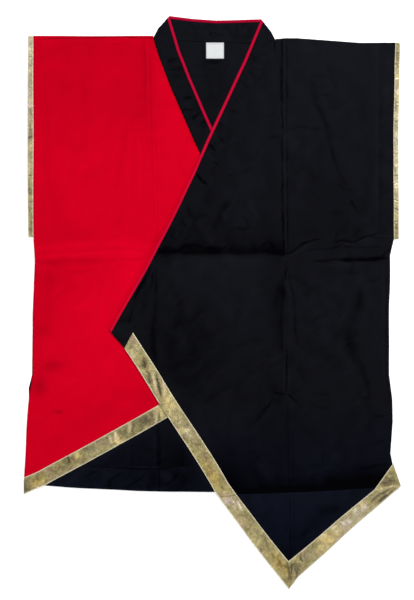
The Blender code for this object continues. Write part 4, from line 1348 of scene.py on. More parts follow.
leftFront = {
    **clothDefaults,
    "node": "left_front",
    "slot": "black_cloth",
    "flat": (495, 990),
    "loft": 1.5,
    "wave": 0.45,
    "waveLength": 110,
    "rumple": 0.42,
    "rumpleLength": 34,
    "foldSpread": 1.2,
    "foldDepth": 0.8,
    "sewnTo": {"collar_left": 0.0},
    "seed": 31,
    "folds": [
        # pressed fold down from the shoulder
        fold([(121, 0), (120, 94), (122, 166)], 2.6, 4.2, -0.8, -1),
        fold([(125, 0), (125, 94), (125, 168)], 1.8, 1.8, 0.7, 0.45),
        fold([(129, 0), (129, 94), (128, 166)], 2.4, 2.2, -0.6, -0.75),
        fold([(117, 168), (125, 171), (134, 166)], 2.5, 2.5, -0.6, -0.6, fade=6),
        fold([(120, 174), (121, 274), (123, 386)], 3.2, 2.4, -0.8, -0.95),
        fold([(125, 173), (126, 274), (127, 386)], 1.8, 1.8, 0.7, 0.45),
        fold([(130, 178), (130, 274), (131, 388)], 2.2, 2.2, -0.6, -0.65),
        fold([(108, 5), (107, 14), (106, 25)], 3, 2.5, -0.6, -0.9, fade=5),
        # chest, right of the fold
        fold([(133, 166), (158, 161), (194, 166)], 4.5, 4.5, -0.5, -0.35),
        fold([(175, 56), (176, 103), (185, 128)], 8, 8, -0.8, -0.26),
        fold([(178, 118), (190, 134), (202, 166), (207, 194), (216, 226)], 9, 6, -1, -0.5),
        fold([(172, 66), (186, 70), (198, 66)], 4, 4, -0.4, -0.22, fade=8),
        fold([(172, 84), (186, 90), (202, 86)], 4, 4, -0.4, -0.25, fade=8),
        fold([(216, 226), (226, 250), (238, 268)], 7, 6, -0.6, -0.3),
        fold([(175, 110), (192, 105), (209, 104)], 5, 4, -0.5, -0.4),
        fold([(186, 100), (200, 122), (214, 150)], 6, 5, 0.6, 0.15),
        fold([(202, 40), (207, 67), (221, 98)], 6, 6, -0.5, -0.2),
        fold([(240, 60), (262, 110), (268, 160)], 12, 12, -0.6, -0.12),
        fold([(221, 263), (234, 273), (250, 275)], 4, 3, -0.6, -0.5, fade=7),
        fold([(243, 291), (250, 302), (256, 317)], 3.5, 4, -0.6, -0.45, fade=7),
        fold([(180, 291), (188, 290), (196, 288)], 3, 3, -0.4, -0.3, fade=6),
        fold([(142, 320), (189, 316), (238, 315)], 8, 7, -0.5, -0.18),
        fold([(272, 200), (276, 240), (270, 290)], 9, 9, -0.6, -0.15),
        fold([(298, 120), (300, 210), (296, 330)], 5, 6, -0.5, -0.2),
        fold([(150, 220), (170, 240), (180, 262)], 9, 9, -0.5, -0.12),
        # chest, left of the fold
        fold([(92, 178), (106, 179), (120, 177)], 3.5, 3.5, -0.4, -0.4, fade=7),
        fold([(95, 38), (77, 68), (63, 97), (55, 132)], 7, 7, -0.6, -0.25),
        fold([(22, 156), (20, 180), (19, 204)], 4.5, 4.5, -0.5, -0.3),
        fold([(80, 200), (60, 230), (52, 262)], 10, 10, -0.6, -0.12),
        fold([(27, 288), (13, 307), (4, 328), (-2, 349)], 9, 7, -1, -0.42),
        fold([(8, 320), (14, 330), (16, 344)], 3, 3, -0.5, -0.4, fade=7),
        fold([(46, 318), (56, 328), (62, 342)], 4, 4, -0.5, -0.3, fade=8),
        fold([(36, 292), (23, 312), (14, 334)], 6, 6, 0.6, 0.2),
        fold([(22, 350), (34, 342), (45, 346), (64, 341)], 4.5, 3.5, -0.6, -0.38, fade=6),
        fold([(70, 300), (84, 318), (104, 328)], 9, 8, -0.5, -0.15),
        fold([(-46, 330), (-30, 320), (-12, 316)], 5, 5, -0.5, -0.25),
        # waist crease, left half
        fold([(-92, 388), (-77, 386), (-41, 388), (4, 387), (54, 388), (85, 386), (104, 388),
              (126, 390)], 42, 8, -0.8, -0.7, fade=4, even=True),
        fold([(-96, 384), (-77, 382), (-41, 386), (4, 385), (54, 386), (85, 382), (104, 386),
              (122, 390)], 12, 6, -0.6, -0.24, fade=4),
        fold([(-80, 401), (-41, 401), (4, 400), (54, 401), (100, 401)], 5, 22, 0.6, 0.26),
        fold([(-84, 352), (-76, 362), (-70, 376)], 5, 5, -0.4, -0.24, fade=7),
        fold([(-52, 372), (-44, 378), (-40, 386)], 6, 5, -0.4, -0.28, fade=6),
        fold([(-20, 366), (-10, 376), (-6, 384)], 6, 6, -0.4, -0.26, fade=6),
        fold([(36, 370), (30, 378), (28, 386)], 6, 6, -0.4, -0.26, fade=6),
        fold([(62, 366), (70, 374), (74, 384)], 6, 6, -0.4, -0.26, fade=6),
        fold([(-66, 377), (-41, 373), (-18, 377), (5, 382), (25, 372)], 5, 5, -0.6, -0.42),
        fold([(82, 376), (95, 368), (109, 381)], 5, 4, -0.6, -0.6, fade=7),
        fold([(-60, 366), (-30, 362), (0, 368)], 4, 4, 0.5, 0.15),
        # waist crease, right half
        fold([(118, 391), (137, 386), (153, 374), (173, 365), (191, 361)], 3, 2.4, -1, -1),
        fold([(131, 396), (151, 384), (174, 371)], 3.5, 3.5, 0.8, 0.45),
        fold([(214, 371), (220, 351), (231, 345)], 2.4, 2.4, -0.5, -0.5, fade=6),
        fold([(213, 371), (227, 364), (247, 368), (265, 360), (281, 356), (295, 351)],
             3.2, 2.6, -0.9, -0.9),
        fold([(214, 376), (240, 371), (262, 367), (284, 362)], 3, 3, 0.6, 0.3),
        fold([(290, 355), (305, 357), (320, 358)], 2.2, 2.2, 0.6, 0.9, fade=6),
        fold([(167, 382), (207, 380), (225, 374), (238, 376), (257, 378), (300, 376)],
             2.6, 2.2, -0.6, -0.6),
        fold([(172, 404), (225, 399), (261, 400), (312, 397)], 4.5, 3, -1, -0.7),
        fold([(222, 401), (261, 400), (312, 397)], 8, 5, -1, -0.8),
        fold([(200, 409), (240, 407), (290, 408)], 5, 7, 0.6, 0.2),
        fold([(298, 395), (310, 384), (319, 376)], 3.2, 2.6, -0.7, -0.8, fade=6),
        fold([(272, 436), (285, 437), (299, 435)], 3, 3, -0.5, -0.45, fade=6),
        fold([(223, 422), (245, 423), (266, 426)], 6, 4, -0.5, -0.28),
        # below the waist, on the fold
        fold([(126, 404), (127, 420), (128, 440)], 3.5, 2.6, -0.9, -1, fade=8),
        fold([(122, 424), (122, 472), (118, 504), (120, 564)], 7, 16, -0.9, -0.36),
        fold([(124, 420), (123, 472), (119, 504), (121, 564)], 3.2, 4.4, -0.5, -0.34),
        fold([(118, 444), (113, 470), (104, 492)], 12, 12, -0.6, -0.35),
        fold([(130, 403), (133, 427), (139, 454), (143, 477), (144, 508), (146, 550)],
             3.4, 4.2, -0.7, -0.52),
        fold([(127, 406), (131, 440), (134, 480), (134, 545)], 3.5, 3.5, 0.7, 0.25),
        fold([(129, 558), (129, 600), (128, 640)], 1.9, 1.9, -0.6, -0.85, fade=8),
        fold([(126, 570), (124, 600), (124, 634)], 1.6, 1.6, 0.5, 0.6, fade=8),
        fold([(132, 558), (133, 600), (132, 634)], 1.6, 1.6, 0.5, 0.5, fade=8),
        fold([(105, 637), (116, 640), (127, 641)], 2.6, 2.2, -0.6, -0.85, fade=5),
        fold([(131, 640), (140, 649), (148, 657)], 3, 2.8, -0.8, -0.9, fade=6),
        fold([(106, 645), (90, 669), (74, 688), (57, 704)], 4.6, 4.2, -0.9, -0.52),
        fold([(113, 652), (97, 676), (79, 699)], 5.5, 5.5, 0.6, 0.16),
        fold([(131, 650), (131, 700), (132, 760), (133, 812)], 3.4, 3.4, -0.5, -0.32, fade=30),
        fold([(139, 700), (140, 760), (141, 812)], 3, 3, -0.4, -0.2, fade=30),
        # right flank
        fold([(263, 448), (256, 481), (248, 508), (243, 535), (248, 562), (257, 594)],
             18, 15, -1.1, -0.4),
        fold([(263, 456), (257, 481), (250, 500)], 6, 6, -0.5, -0.25),
        fold([(240, 520), (242, 550), (250, 580)], 10, 8, -0.3, -0.12),
        fold([(276, 462), (268, 500), (262, 540)], 10, 10, 0.6, 0.12),
        fold([(260, 580), (270, 612), (279, 648)], 8, 7, -0.9, -0.45),
        fold([(260, 648), (270, 648), (281, 646)], 3, 3, -0.5, -0.5, fade=5),
        fold([(287, 679), (297, 680), (307, 679)], 2.8, 2.8, -0.6, -0.95, fade=4),
        fold([(160, 470), (170, 455), (186, 446)], 6, 6, -0.4, -0.25),
        fold([(158, 655), (185, 664), (212, 668)], 6, 6, -0.5, -0.22),
        fold([(170, 560), (200, 570), (214, 600)], 12, 12, -0.5, -0.12),
        fold([(263, 734), (286, 729), (309, 724)], 5, 5, -0.5, -0.3),
        fold([(303, 402), (304, 500), (304, 604), (309, 650)], 1.6, 1.6, 0.4, 0.5),
        fold([(308, 402), (308, 500), (308, 602), (313, 650)], 1.6, 1.6, -0.4, -0.4),
        # stitching of the armhole facing
        fold([(290, 8), (290, 180), (291, 356)], 4, 3.4, 0.4, 0.26),
        fold([(297, 100), (296, 210), (297, 352)], 3.6, 3.6, -0.3, -0.18),
        fold([(309, 20), (309, 180), (310, 352)], 4.6, 4.6, 0.2, 0.14),
        # left flank, towards the gold band
        fold([(-72, 637), (-41, 621), (-13, 594), (15, 580)], 8, 8, -0.6, -0.16),
        fold([(-22, 662), (0, 644), (33, 622)], 6, 6, -0.6, -0.18),
        fold([(15, 565), (45, 553), (86, 540)], 7, 7, -0.5, -0.15),
        fold([(76, 599), (103, 583), (128, 567)], 5, 5, 0.6, 0.2),
        fold([(-34, 600), (-14, 574), (12, 558)], 7, 7, 0.6, 0.12),
        fold([(-106, 404), (-107, 450), (-107, 492), (-111, 530), (-106, 600)], 5, 7, -0.6, -0.4),
        fold([(-112, 520), (-113, 545), (-108, 580)], 10, 8, -0.6, -0.26),
        fold([(-138, 530), (-124, 531), (-112, 528)], 3, 3, 0.4, 0.3, fade=6),
        fold([(-100, 470), (-88, 460), (-74, 444)], 5, 5, -0.4, -0.25),
        fold([(-86, 500), (-70, 484), (-50, 470)], 6, 5, -0.5, -0.17),
        fold([(-80, 480), (-64, 470), (-46, 456)], 5, 5, 0.4, 0.2),
        fold([(-92, 540), (-76, 524), (-60, 512)], 7, 6, -0.5, -0.15),
        fold([(-84, 566), (-66, 556), (-50, 540)], 7, 7, 0.4, 0.14),
        fold([(-90, 604), (-70, 590), (-46, 580)], 8, 6, -0.5, -0.14),
        fold([(-52, 610), (-36, 596), (-22, 580)], 5, 5, 0.5, 0.14),
        fold([(-30, 640), (-16, 620), (-4, 600)], 5, 5, -0.5, -0.17),
        fold([(-46, 654), (-34, 640), (-24, 628)], 6, 5, -0.5, -0.17),
        fold([(-6, 620), (14, 600), (30, 586)], 5, 5, 0.5, 0.16),
        fold([(24, 604), (46, 592), (70, 584)], 6, 5, -0.5, -0.15),
        fold([(40, 574), (60, 566), (90, 556)], 5, 5, 0.4, 0.2),
        fold([(60, 620), (80, 606), (96, 598)], 5, 5, 0.5, 0.14),
        fold([(-10, 540), (6, 524), (20, 516)], 6, 6, -0.5, -0.14),
        fold([(-50, 520), (-34, 500), (-16, 490)], 7, 6, -0.5, -0.14),
        fold([(30, 520), (42, 500), (52, 480)], 7, 7, -0.5, -0.14),
        fold([(60, 470), (74, 456), (92, 450)], 6, 6, 0.4, 0.12),
        fold([(136, 430), (150, 436), (160, 448)], 5, 5, -0.4, -0.2),
        fold([(150, 500), (164, 508), (172, 520)], 6, 6, -0.4, -0.2),
        fold([(150, 540), (160, 552), (176, 560)], 6, 5, 0.4, 0.15),
        fold([(170, 640), (190, 640), (206, 646)], 4, 4, -0.4, -0.2),
        fold([(156, 668), (176, 690), (190, 716)], 7, 6, -0.5, -0.14),
        fold([(60, 740), (74, 752), (90, 770)], 6, 6, -0.4, -0.14),
        fold([(-90, 430), (-70, 460), (-62, 500)], 10, 10, -0.5, -0.15),
        fold([(20, 430), (40, 470), (38, 510)], 14, 14, -0.6, -0.12),
        fold([(-10, 700), (10, 730), (40, 752)], 10, 10, -0.5, -0.15),
        # where it comes down off the back's hem: painted shade above the step, painted highlight
        # below it
        fold([(0, 821), (81, 819), (135, 817), (187, 815), (293, 808), (345, 804)],
             46, 1.2, -0.3, -0.8, fade=0.1, even=True),
        fold([(0, 821), (81, 819), (135, 817), (187, 815), (293, 808), (345, 804)],
             12, 1.2, -0.2, -0.42, fade=0.1, even=True),
        fold([(60, 820), (187, 815), (250, 811), (293, 808), (345, 804)], 84, 1.2, 0, -0.38,
             fade=160, even=True),
        fold([(0, 823), (81, 821), (135, 819), (187, 817), (293, 810), (330, 807)],
             1.2, 36, 0.4, 0.22, fade=0.1, even=True),
        fold([(245, 778), (279, 772), (312, 767)], 4.5, 4.5, -0.5, -0.4),
        fold([(76, 789), (108, 783), (154, 788)], 5, 5, 0.4, 0.15),
        fold([(163, 783), (193, 778), (223, 770)], 5, 5, 0.4, 0.18),
        # hanging point
        fold([(226, 845), (193, 852), (171, 877), (157, 900)], 14, 14, -0.7, -0.34),
        fold([(84, 863), (95, 877), (105, 892)], 10, 10, -0.5, -0.24),
        fold([(135, 821), (136, 868), (137, 940)], 3, 2.8, -0.6, -0.42),
        fold([(141, 822), (142, 868), (141, 940)], 2.6, 2.6, -0.5, -0.3),
        fold([(138, 822), (139, 868), (139, 940)], 1.8, 1.8, 0.4, 0.2),
    ],
    "swells": [
        swell(120, 850, 50, 30, 0, 0.4, 0.06),
        swell(140, 925, 40, 44, 0, 0, -0.5),
        swell(210, 860, 50, 14, 42, 0, -0.22),
        swell(130, 330, 300, 80, 0, 0, -0.08),
        swell(240, 40, 110, 60, 0, 0.3, 0.14),
        swell(310, 110, 20, 90, 0, 0, 0.12),
        swell(40, 130, 150, 30, 62, 0, -0.1),
        swell(-20, 290, 120, 34, 62, 0.2, -0.24),
        swell(100, 270, 150, 16, 90, 0, -0.14),
        swell(70, 350, 300, 22, 0, 0, -0.2),
        swell(190, 262, 40, 50, 0, 0.2, -0.12),
        swell(240, 300, 30, 50, 0, 0.2, -0.16),
        swell(-30, 426, 90, 24, 0, 0.4, 0.1),
        swell(45, 440, 44, 46, 0, 0.4, 0.16),
        swell(101, 450, 16, 60, 0, 0, -0.16),
        swell(122, 390, 14, 20, 0, 0, -0.25),
        swell(190, 420, 60, 40, 0, 0.2, -0.1),
        swell(-95, 540, 60, 66, 0, 0.2, -0.3),
        swell(-30, 520, 50, 60, 40, 0.2, -0.24),
        swell(-60, 590, 50, 34, 34, 0, -0.22),
        swell(20, 560, 60, 60, 0, 0.2, -0.12),
        swell(110, 530, 40, 80, 0, 0, -0.12),
        swell(60, 640, 150, 40, 0, 0, -0.12),
        swell(110, 700, 46, 70, 0, 0, -0.2),
        swell(10, 775, 40, 44, 0, 0, -0.42),
        swell(30, 790, 60, 24, 0, 0, -0.3),
        swell(285, 790, 66, 32, 0, 0, -0.36),
        swell(-50, 600, 60, 50, 40, 0, -0.12),
        swell(190, 545, 60, 50, 0, 0, -0.16),
        swell(100, 590, 160, 50, 0, 0, -0.06),
        swell(50, 760, 70, 40, 0, 0, -0.24),
        swell(130, 775, 90, 24, 0, 0, -0.1),
        swell(150, 690, 200, 90, 0, 0, -0.12),
        swell(290, 700, 60, 90, 0, 0, -0.1),
        swell(60, 860, 40, 40, -50, 0, -0.14),
        swell(150, 850, 120, 50, 0, 0, -0.12),
        swell(240, 720, 60, 60, 0, 0.3, -0.1),
        swell(170, 740, 60, 34, 0, 0, -0.12),
        swell(301, 76, 8, 12, 0, -0.2, -0.2),
        swell(302, 134, 10, 8, 0, -0.2, -0.22),
        swell(304, 208, 9, 14, 0, -0.2, -0.24),
        swell(300, 262, 7, 9, 0, -0.2, -0.18),
        swell(303, 306, 9, 10, 0, -0.2, -0.2),
        swell(306, 170, 7, 12, 0, 0.2, 0.12),
        swell(305, 330, 8, 9, 0, 0.2, 0.14),
    ],
}

# gold bands

bandDefaults = {
    **clothDefaults,
    "foldSpread": 1.3,
    "foldDepth": 0.55,
    "slot": "gold_band",
    "roll": 0.7,
    "grid": 2,
    "rimStep": 2.2,
    "loft": 0.3,
    "wave": 0.18,
    "waveLength": 34,
    "crinkle": 0.42,
    "crinkleLength": 7,
    "selvedge": 1.5,
}
hemBandRight = {
    **bandDefaults,
    "node": "hem_band_right",
    "flat": (27.7, 570),
    "seed": 41,
    "edgeAngle": 28,
    "edgeGap": (-92, 669, 10),
    "liesOn": rightFront,
    "coveredBy": ["left_front", "collar_left"],
    "folds": [
        # glints where it is bent
        fold([(-181, 705), (-178, 715), (-180, 724)], 3, 3, 0.6, 0.7, fade=5),
        fold([(-179, 722), (-174, 729), (-171, 733)], 2.6, 3, 0.6, 0.8, fade=4),
        fold([(-190, 716), (-188, 724), (-184, 728)], 2.4, 2, 0.4, 0.4, fade=4, tint=-0.6),
        fold([(-170, 703), (-171, 714), (-168, 724)], 3, 3.4, -0.5, -0.35, fade=5),
        fold([(-154, 690), (-152, 700), (-155, 712)], 3.4, 2.6, 0.7, 0.75, fade=5),
        fold([(-147, 688), (-146, 698), (-149, 708)], 2.4, 3, -0.4, -0.35, fade=5),
        fold([(-249, 744), (-247, 750), (-250, 756)], 2.4, 2.4, 0.5, 0.6, fade=4),
        fold([(-266, 748), (-264, 756), (-262, 762)], 2, 2.4, -0.5, -0.9, fade=4),
        fold([(-258, 752), (-256, 758), (-251, 762)], 1.8, 1.8, -0.4, -0.5, fade=4),
        fold([(-272, 768), (-262, 772), (-254, 770)], 2.2, 2.2, -0.4, -0.3, fade=5, tint=-0.7),
        # turned edge beside the crossing
        fold([(-106, 668), (-105, 684), (-107, 702)], 3.2, 2.4, 0.7, 0.8, fade=5),
        fold([(-101, 668), (-100, 684), (-102, 700)], 2, 2, -0.7, -0.9, fade=5),
        fold([(-96, 664), (-95, 680), (-94, 694)], 2.6, 2, 0.6, 0.55, fade=5),
        fold([(-114, 672), (-112, 682), (-113, 694)], 2.4, 3, -0.4, -0.4, fade=5),
        # cracks
        fold([(-305, 786), (-304, 796), (-306, 806)], 2, 2, -0.4, -0.4, fade=4),
        fold([(-330, 800), (-320, 794), (-312, 796)], 3, 2.4, -0.4, -0.3, fade=5),
        fold([(-298, 776), (-286, 780), (-280, 772)], 2.4, 2.4, -0.4, -0.3, fade=6),
        fold([(-238, 742), (-228, 738), (-222, 744)], 2, 2, -0.4, -0.3, fade=5),
        fold([(-214, 726), (-206, 732), (-198, 726)], 2, 2, -0.4, -0.3, fade=5),
        fold([(-140, 684), (-128, 686), (-118, 678)], 2.2, 2.2, -0.3, -0.3, fade=5, tint=-0.6),
    ],
    "swells": [
        swell(-225, 745, 200, 60, 28, 0, -0.17),
        swell(-215, 741, 24, 10, 28, 0, 0.12, -0.1),
        swell(-341, 812, 10, 12, 28, 0, -0.4),
        swell(-98, 674, 9, 16, 28, 0.1, 0.45, 0.3),
        swell(-126, 688, 15, 9, 28, 0.1, -0.36, -0.2),
        swell(-178, 716, 3, 8, 20, 0.1, 0.5, 0.4),
        swell(-171, 727, 3, 7, 50, 0.1, 0.5, 0.5),
        swell(-188, 722, 2, 5, 0, 0.1, 0.4, -0.6),
        swell(-154, 700, 2.6, 8, 8, 0.1, 0.55, 0.2),
        swell(-249, 750, 3, 5, 10, 0.1, 0.4, 0.2),
        swell(-262, 760, 2, 5, 20, -0.1, -0.6),
        swell(-330, 803, 14, 10, 28, 0, -0.24),
        swell(-260, 766, 14, 10, 28, 0, 0.08),
        swell(-158, 704, 14, 9, 28, 0.2, -0.1, -0.1),
        swell(-320, 798, 18, 8, 25, 0.2, 0.16, 0.75),
        swell(-275, 770, 26, 9, 25, 0.1, -0.12, 0.25),
        swell(-176, 722, 11, 8, 28, 0.4, 0.22, 0.3),
        swell(-215, 736, 24, 8, 28, 0.1, -0.05, -0.25),
        swell(-245, 752, 10, 8, 28, 0.1, 0.05, 0.5),
    ],
}
hemBandLong = {
    **bandDefaults,
    "node": "hem_band_left_long",
    "flat": (28.5, 548),
    "seed": 42,
    "edgeAngle": -55,
    "edgeGap": (-92, 669, 12),
    "liesOn": leftFront,
    "folds": [
        # bent where the band below crosses
        fold([(-106, 604), (-101, 626), (-97, 652)], 3, 3, -0.7, -0.8, fade=8),
        fold([(-112, 600), (-108, 620), (-106, 640)], 2.6, 2.6, 0.7, 0.7, fade=7),
        fold([(-95, 612), (-92, 628), (-90, 646)], 2.6, 2.6, 0.7, 0.65, fade=6),
        fold([(-88, 622), (-85, 634), (-84, 650)], 2, 2, -0.5, -0.5, fade=6),
        fold([(-121, 600), (-117, 616), (-112, 632)], 4.6, 4, -0.6, -0.5, fade=7, tint=-0.3),
        fold([(-129, 576), (-126, 586), (-128, 596)], 3.4, 4, -0.6, -0.6, fade=5, tint=0.3),
        fold([(-123, 566), (-118, 576), (-118, 588)], 2.4, 2.4, 0.5, 0.3, fade=5, tint=-0.5),
        fold([(-142, 560), (-136, 568), (-128, 566)], 2.4, 2.4, -0.4, -0.3, fade=5),
        fold([(-94, 656), (-84, 660), (-76, 654)], 3, 3, 0.4, 0.3, fade=6, tint=0.7),
        fold([(-96, 666), (-88, 670), (-80, 678)], 2, 2, -0.4, -0.35, fade=5),
        # cracks down its length
        fold([(-74, 672), (-66, 682), (-66, 694)], 2, 2, -0.4, -0.35, fade=5),
        fold([(-62, 694), (-52, 690), (-46, 698)], 2, 2, -0.3, -0.3, fade=5, tint=-0.5),
        fold([(-52, 706), (-46, 714), (-40, 716)], 2.6, 2.6, 0.4, 0.4, fade=5, tint=-0.5),
        fold([(-40, 728), (-32, 732), (-30, 744)], 2.2, 2.2, -0.4, -0.4, fade=5),
        fold([(-24, 742), (-16, 752), (-18, 762)], 2, 2, -0.3, -0.3, fade=5),
        fold([(-16, 768), (-8, 774), (-4, 786)], 2.6, 2.6, -0.4, -0.35, fade=6),
        fold([(-4, 790), (4, 788), (12, 796)], 2, 2, 0.3, 0.3, fade=5, tint=0.6),
        fold([(8, 800), (12, 808), (22, 812)], 2.4, 2.4, -0.3, -0.3, fade=5),
        # where it comes down off the back's hem
        fold([(4, 824), (22, 824), (44, 821)], 1.6, 3, -0.6, -0.8, fade=5),
        fold([(41, 831), (45, 841), (50, 852)], 2.2, 2.2, 0.6, 0.8, fade=5),
        fold([(16, 832), (24, 842), (34, 848)], 3, 3, -0.4, -0.35, fade=6),
        fold([(20, 829), (30, 832), (38, 838)], 2.6, 2.6, 0.4, 0.4, fade=6, tint=-0.8),
        fold([(52, 858), (60, 864), (62, 874)], 2, 2, -0.4, -0.35, fade=5),
        fold([(74, 880), (78, 892), (88, 896)], 2.2, 2.2, -0.4, -0.3, fade=5, tint=-0.3),
        fold([(88, 898), (94, 908), (96, 920)], 3, 3, -0.4, -0.4, fade=6),
        fold([(100, 924), (106, 932), (104, 942)], 2.2, 2.2, -0.4, -0.35, fade=5),
        fold([(112, 932), (118, 944), (120, 956)], 2.4, 2.4, -0.4, -0.4, fade=6, tint=0.5),
        fold([(122, 944), (127, 956), (131, 972)], 2, 2, 0.4, 0.4, fade=6, tint=0.6),
        fold([(128, 940), (133, 956), (137, 976)], 2.2, 1.6, -0.6, -0.8, fade=5),
    ],
    "swells": [
        swell(-142, 556, 16, 9, -55, 0.1, 0.05, -0.2),
        swell(-127, 584, 5, 12, 10, 0, -0.34, 0.2),
        swell(-112, 604, 8, 6, -55, 0, 0.16),
        swell(-109, 618, 3, 16, 14, 0.1, 0.45, -0.2),
        swell(-90, 630, 3, 14, 12, 0.1, 0.26, 0.2),
        swell(-99, 632, 1.8, 18, 14, 0, -0.55),
        swell(45, 842, 2.6, 8, 28, 0.1, 0.55, -0.3),
        swell(30, 838, 4, 9, 40, 0, -0.3, -0.3),
        swell(18, 834, 3, 6, 20, 0.1, 0.35, -0.8),
        swell(-117, 610, 22, 7, -60, 0.2, -0.3, 0.1),
        swell(-80, 656, 24, 13, -50, 0.4, 0.36, 0.5),
        swell(-14, 754, 14, 12, -55, 0, -0.14),
        swell(-50, 708, 26, 10, -56, 0.2, 0.06, -0.25),
        swell(-6, 786, 34, 10, -56, 0.2, -0.12, 0.7),
        swell(30, 836, 18, 9, -50, 0.4, 0.12, -0.9),
        swell(60, 868, 20, 9, -50, 0.2, -0.06, 0),
        swell(90, 906, 16, 9, -50, 0.2, -0.08, 0),
        swell(68, 878, 8, 12, -50, 0, -0.1),
        swell(131, 973, 8, 12, -50, 0, -0.36, 0.2),
        swell(116, 946, 24, 10, -52, 0.3, -0.06, 0.7),
    ],
}
hemBandShort = {
    **bandDefaults,
    "node": "hem_band_left_short",
    "flat": (30, 282),
    "seed": 43,
    "edgeAngle": 44,
    "liesOn": leftFront,
    "folds": [
        # puckers beside the mitre
        fold([(140, 944), (138, 960), (137, 978)], 1.8, 2, -0.6, -0.8, fade=6),
        fold([(147, 934), (143, 948), (145, 962)], 1.6, 1.6, -0.6, -0.8, fade=5),
        fold([(146, 956), (148, 964), (145, 972)], 1.6, 1.6, -0.5, -0.9, fade=4),
        fold([(151, 930), (149, 940), (152, 950)], 1.4, 1.4, 0.5, 0.4, fade=5),
        fold([(155, 926), (154, 936), (159, 944)], 1.6, 1.6, -0.6, -0.9, fade=4),
        fold([(152, 950), (157, 954), (163, 950)], 1.4, 1.4, -0.4, -0.5, fade=4),
        fold([(162, 920), (160, 930), (165, 940)], 1.4, 1.4, -0.4, -0.5, fade=5),
        fold([(141, 966), (147, 968), (152, 962)], 1.4, 1.4, 0.4, 0.4, fade=4),
        # glints and creases along the band
        fold([(182, 902), (188, 900), (190, 910)], 2.4, 2.4, -0.4, -0.35, fade=5),
        fold([(196, 894), (204, 900), (202, 908)], 2.4, 2.4, 0.4, 0.45, fade=5, tint=1),
        fold([(206, 904), (211, 908), (214, 903)], 2, 2, 0.4, 0.7, fade=4, tint=1),
        fold([(208, 884), (213, 880), (219, 878)], 2.6, 2.2, 0.5, 0.8, fade=4),
        fold([(213, 888), (219, 887), (223, 883)], 1.8, 1.8, 0.4, 0.5, fade=4),
        fold([(204, 892), (211, 893), (216, 898)], 2, 2, -0.4, -0.4, fade=5),
        fold([(227, 870), (233, 874), (238, 878)], 3, 3, 0.6, 0.75, fade=4, tint=-1),
        fold([(236, 866), (241, 871), (246, 869)], 2.4, 2.4, 0.5, 0.5, fade=4, tint=-1),
        fold([(222, 876), (226, 884), (232, 886)], 1.8, 1.8, -0.4, -0.4, fade=4),
        fold([(207, 895), (210, 890), (211, 884)], 1.2, 1.2, -0.4, -0.5, fade=3),
        fold([(217, 889), (219, 883), (218, 877)], 1.2, 1.2, -0.4, -0.5, fade=3),
        fold([(238, 880), (240, 873), (238, 866)], 1.4, 1.4, -0.4, -0.4, fade=3),
        fold([(254, 862), (260, 858), (262, 850)], 1.4, 1.4, -0.4, -0.4, fade=3),
        fold([(240, 854), (243, 862), (250, 864)], 2, 2, -0.4, -0.45, fade=5),
        fold([(250, 847), (256, 852), (258, 860)], 2.4, 2.4, 0.4, 0.4, fade=5, tint=-0.7),
        fold([(262, 836), (266, 844), (264, 852)], 2.2, 2.2, 0.5, 0.6, fade=4),
        fold([(268, 840), (272, 846), (280, 842)], 2, 2, 0.3, 0.4, fade=4, tint=-0.6),
        # end that comes down off the back's hem
        fold([(289, 812), (304, 811), (328, 804)], 2.4, 2.6, 0.7, 0.75, fade=5),
        fold([(278, 838), (292, 824), (314, 812)], 2.6, 3, -0.6, -0.75, fade=6),
        fold([(280, 828), (292, 820), (306, 814)], 2, 2, 0.4, 0.35, fade=5, tint=-0.6),
        fold([(286, 836), (300, 825), (318, 813)], 2, 2, 0.5, 0.3, fade=5),
        fold([(290, 838), (306, 825), (322, 812)], 2, 2.4, -0.6, -0.75, fade=6),
        fold([(276, 826), (282, 822), (288, 822)], 2.4, 2.4, -0.4, -0.4, fade=5),
        fold([(298, 802), (312, 797), (326, 795)], 4, 4, -0.3, -0.3, fade=6),
    ],
    "swells": [
        swell(207, 905, 5, 2, 30, 0.1, 0.5, 0.9),
        swell(225, 886, 46, 14, 40, 0, 0.32),
        swell(258, 856, 20, 14, 40, 0, 0.3),
        swell(194, 904, 5, 2, -20, 0.1, 0.4, 0.9),
        swell(214, 882, 5, 2, 40, 0.1, 0.6, -0.1),
        swell(220, 888, 3, 2, 0, 0.1, 0.5, -0.2),
        swell(231, 873, 6, 2.2, -30, 0.1, 0.5, -0.5),
        swell(243, 871, 4, 2, 20, 0.1, 0.5, -0.4),
        swell(252, 849, 5, 2.2, 50, 0.1, 0.5, -0.5),
        swell(270, 843, 3, 5, 10, 0.1, 0.45, -0.3),
        swell(245, 858, 2, 6, 20, -0.1, -0.35, -0.2),
        swell(303, 824, 18, 8, 38, 0.2, -0.28, -0.3),
        swell(308, 798, 16, 8, 10, 0.2, -0.3, -0.1),
        swell(312, 780, 12, 8, 40, 0, -0.1, -0.1),
        swell(258, 854, 16, 9, 40, 0.3, 0.05, -0.5),
        swell(234, 874, 13, 9, 40, 0.3, 0.1, -0.5),
        swell(206, 899, 26, 10, 40, 0.3, 0.2, 0.7),
        swell(170, 930, 14, 9, 40, 0.1, 0, -0.25),
        swell(149, 952, 8, 13, 0, 0, -0.3, -0.1),
    ],
}
cuffDefaults = {
    **bandDefaults,
    "foldSpread": 1,
    "foldDepth": 1,
    "roll": 0.6,
    "grid": 1.8,
    "crinkle": 0.3,
    "crinkleLength": 5,
    "selvedge": 0.8,
    "edgeAngle": 90,
}
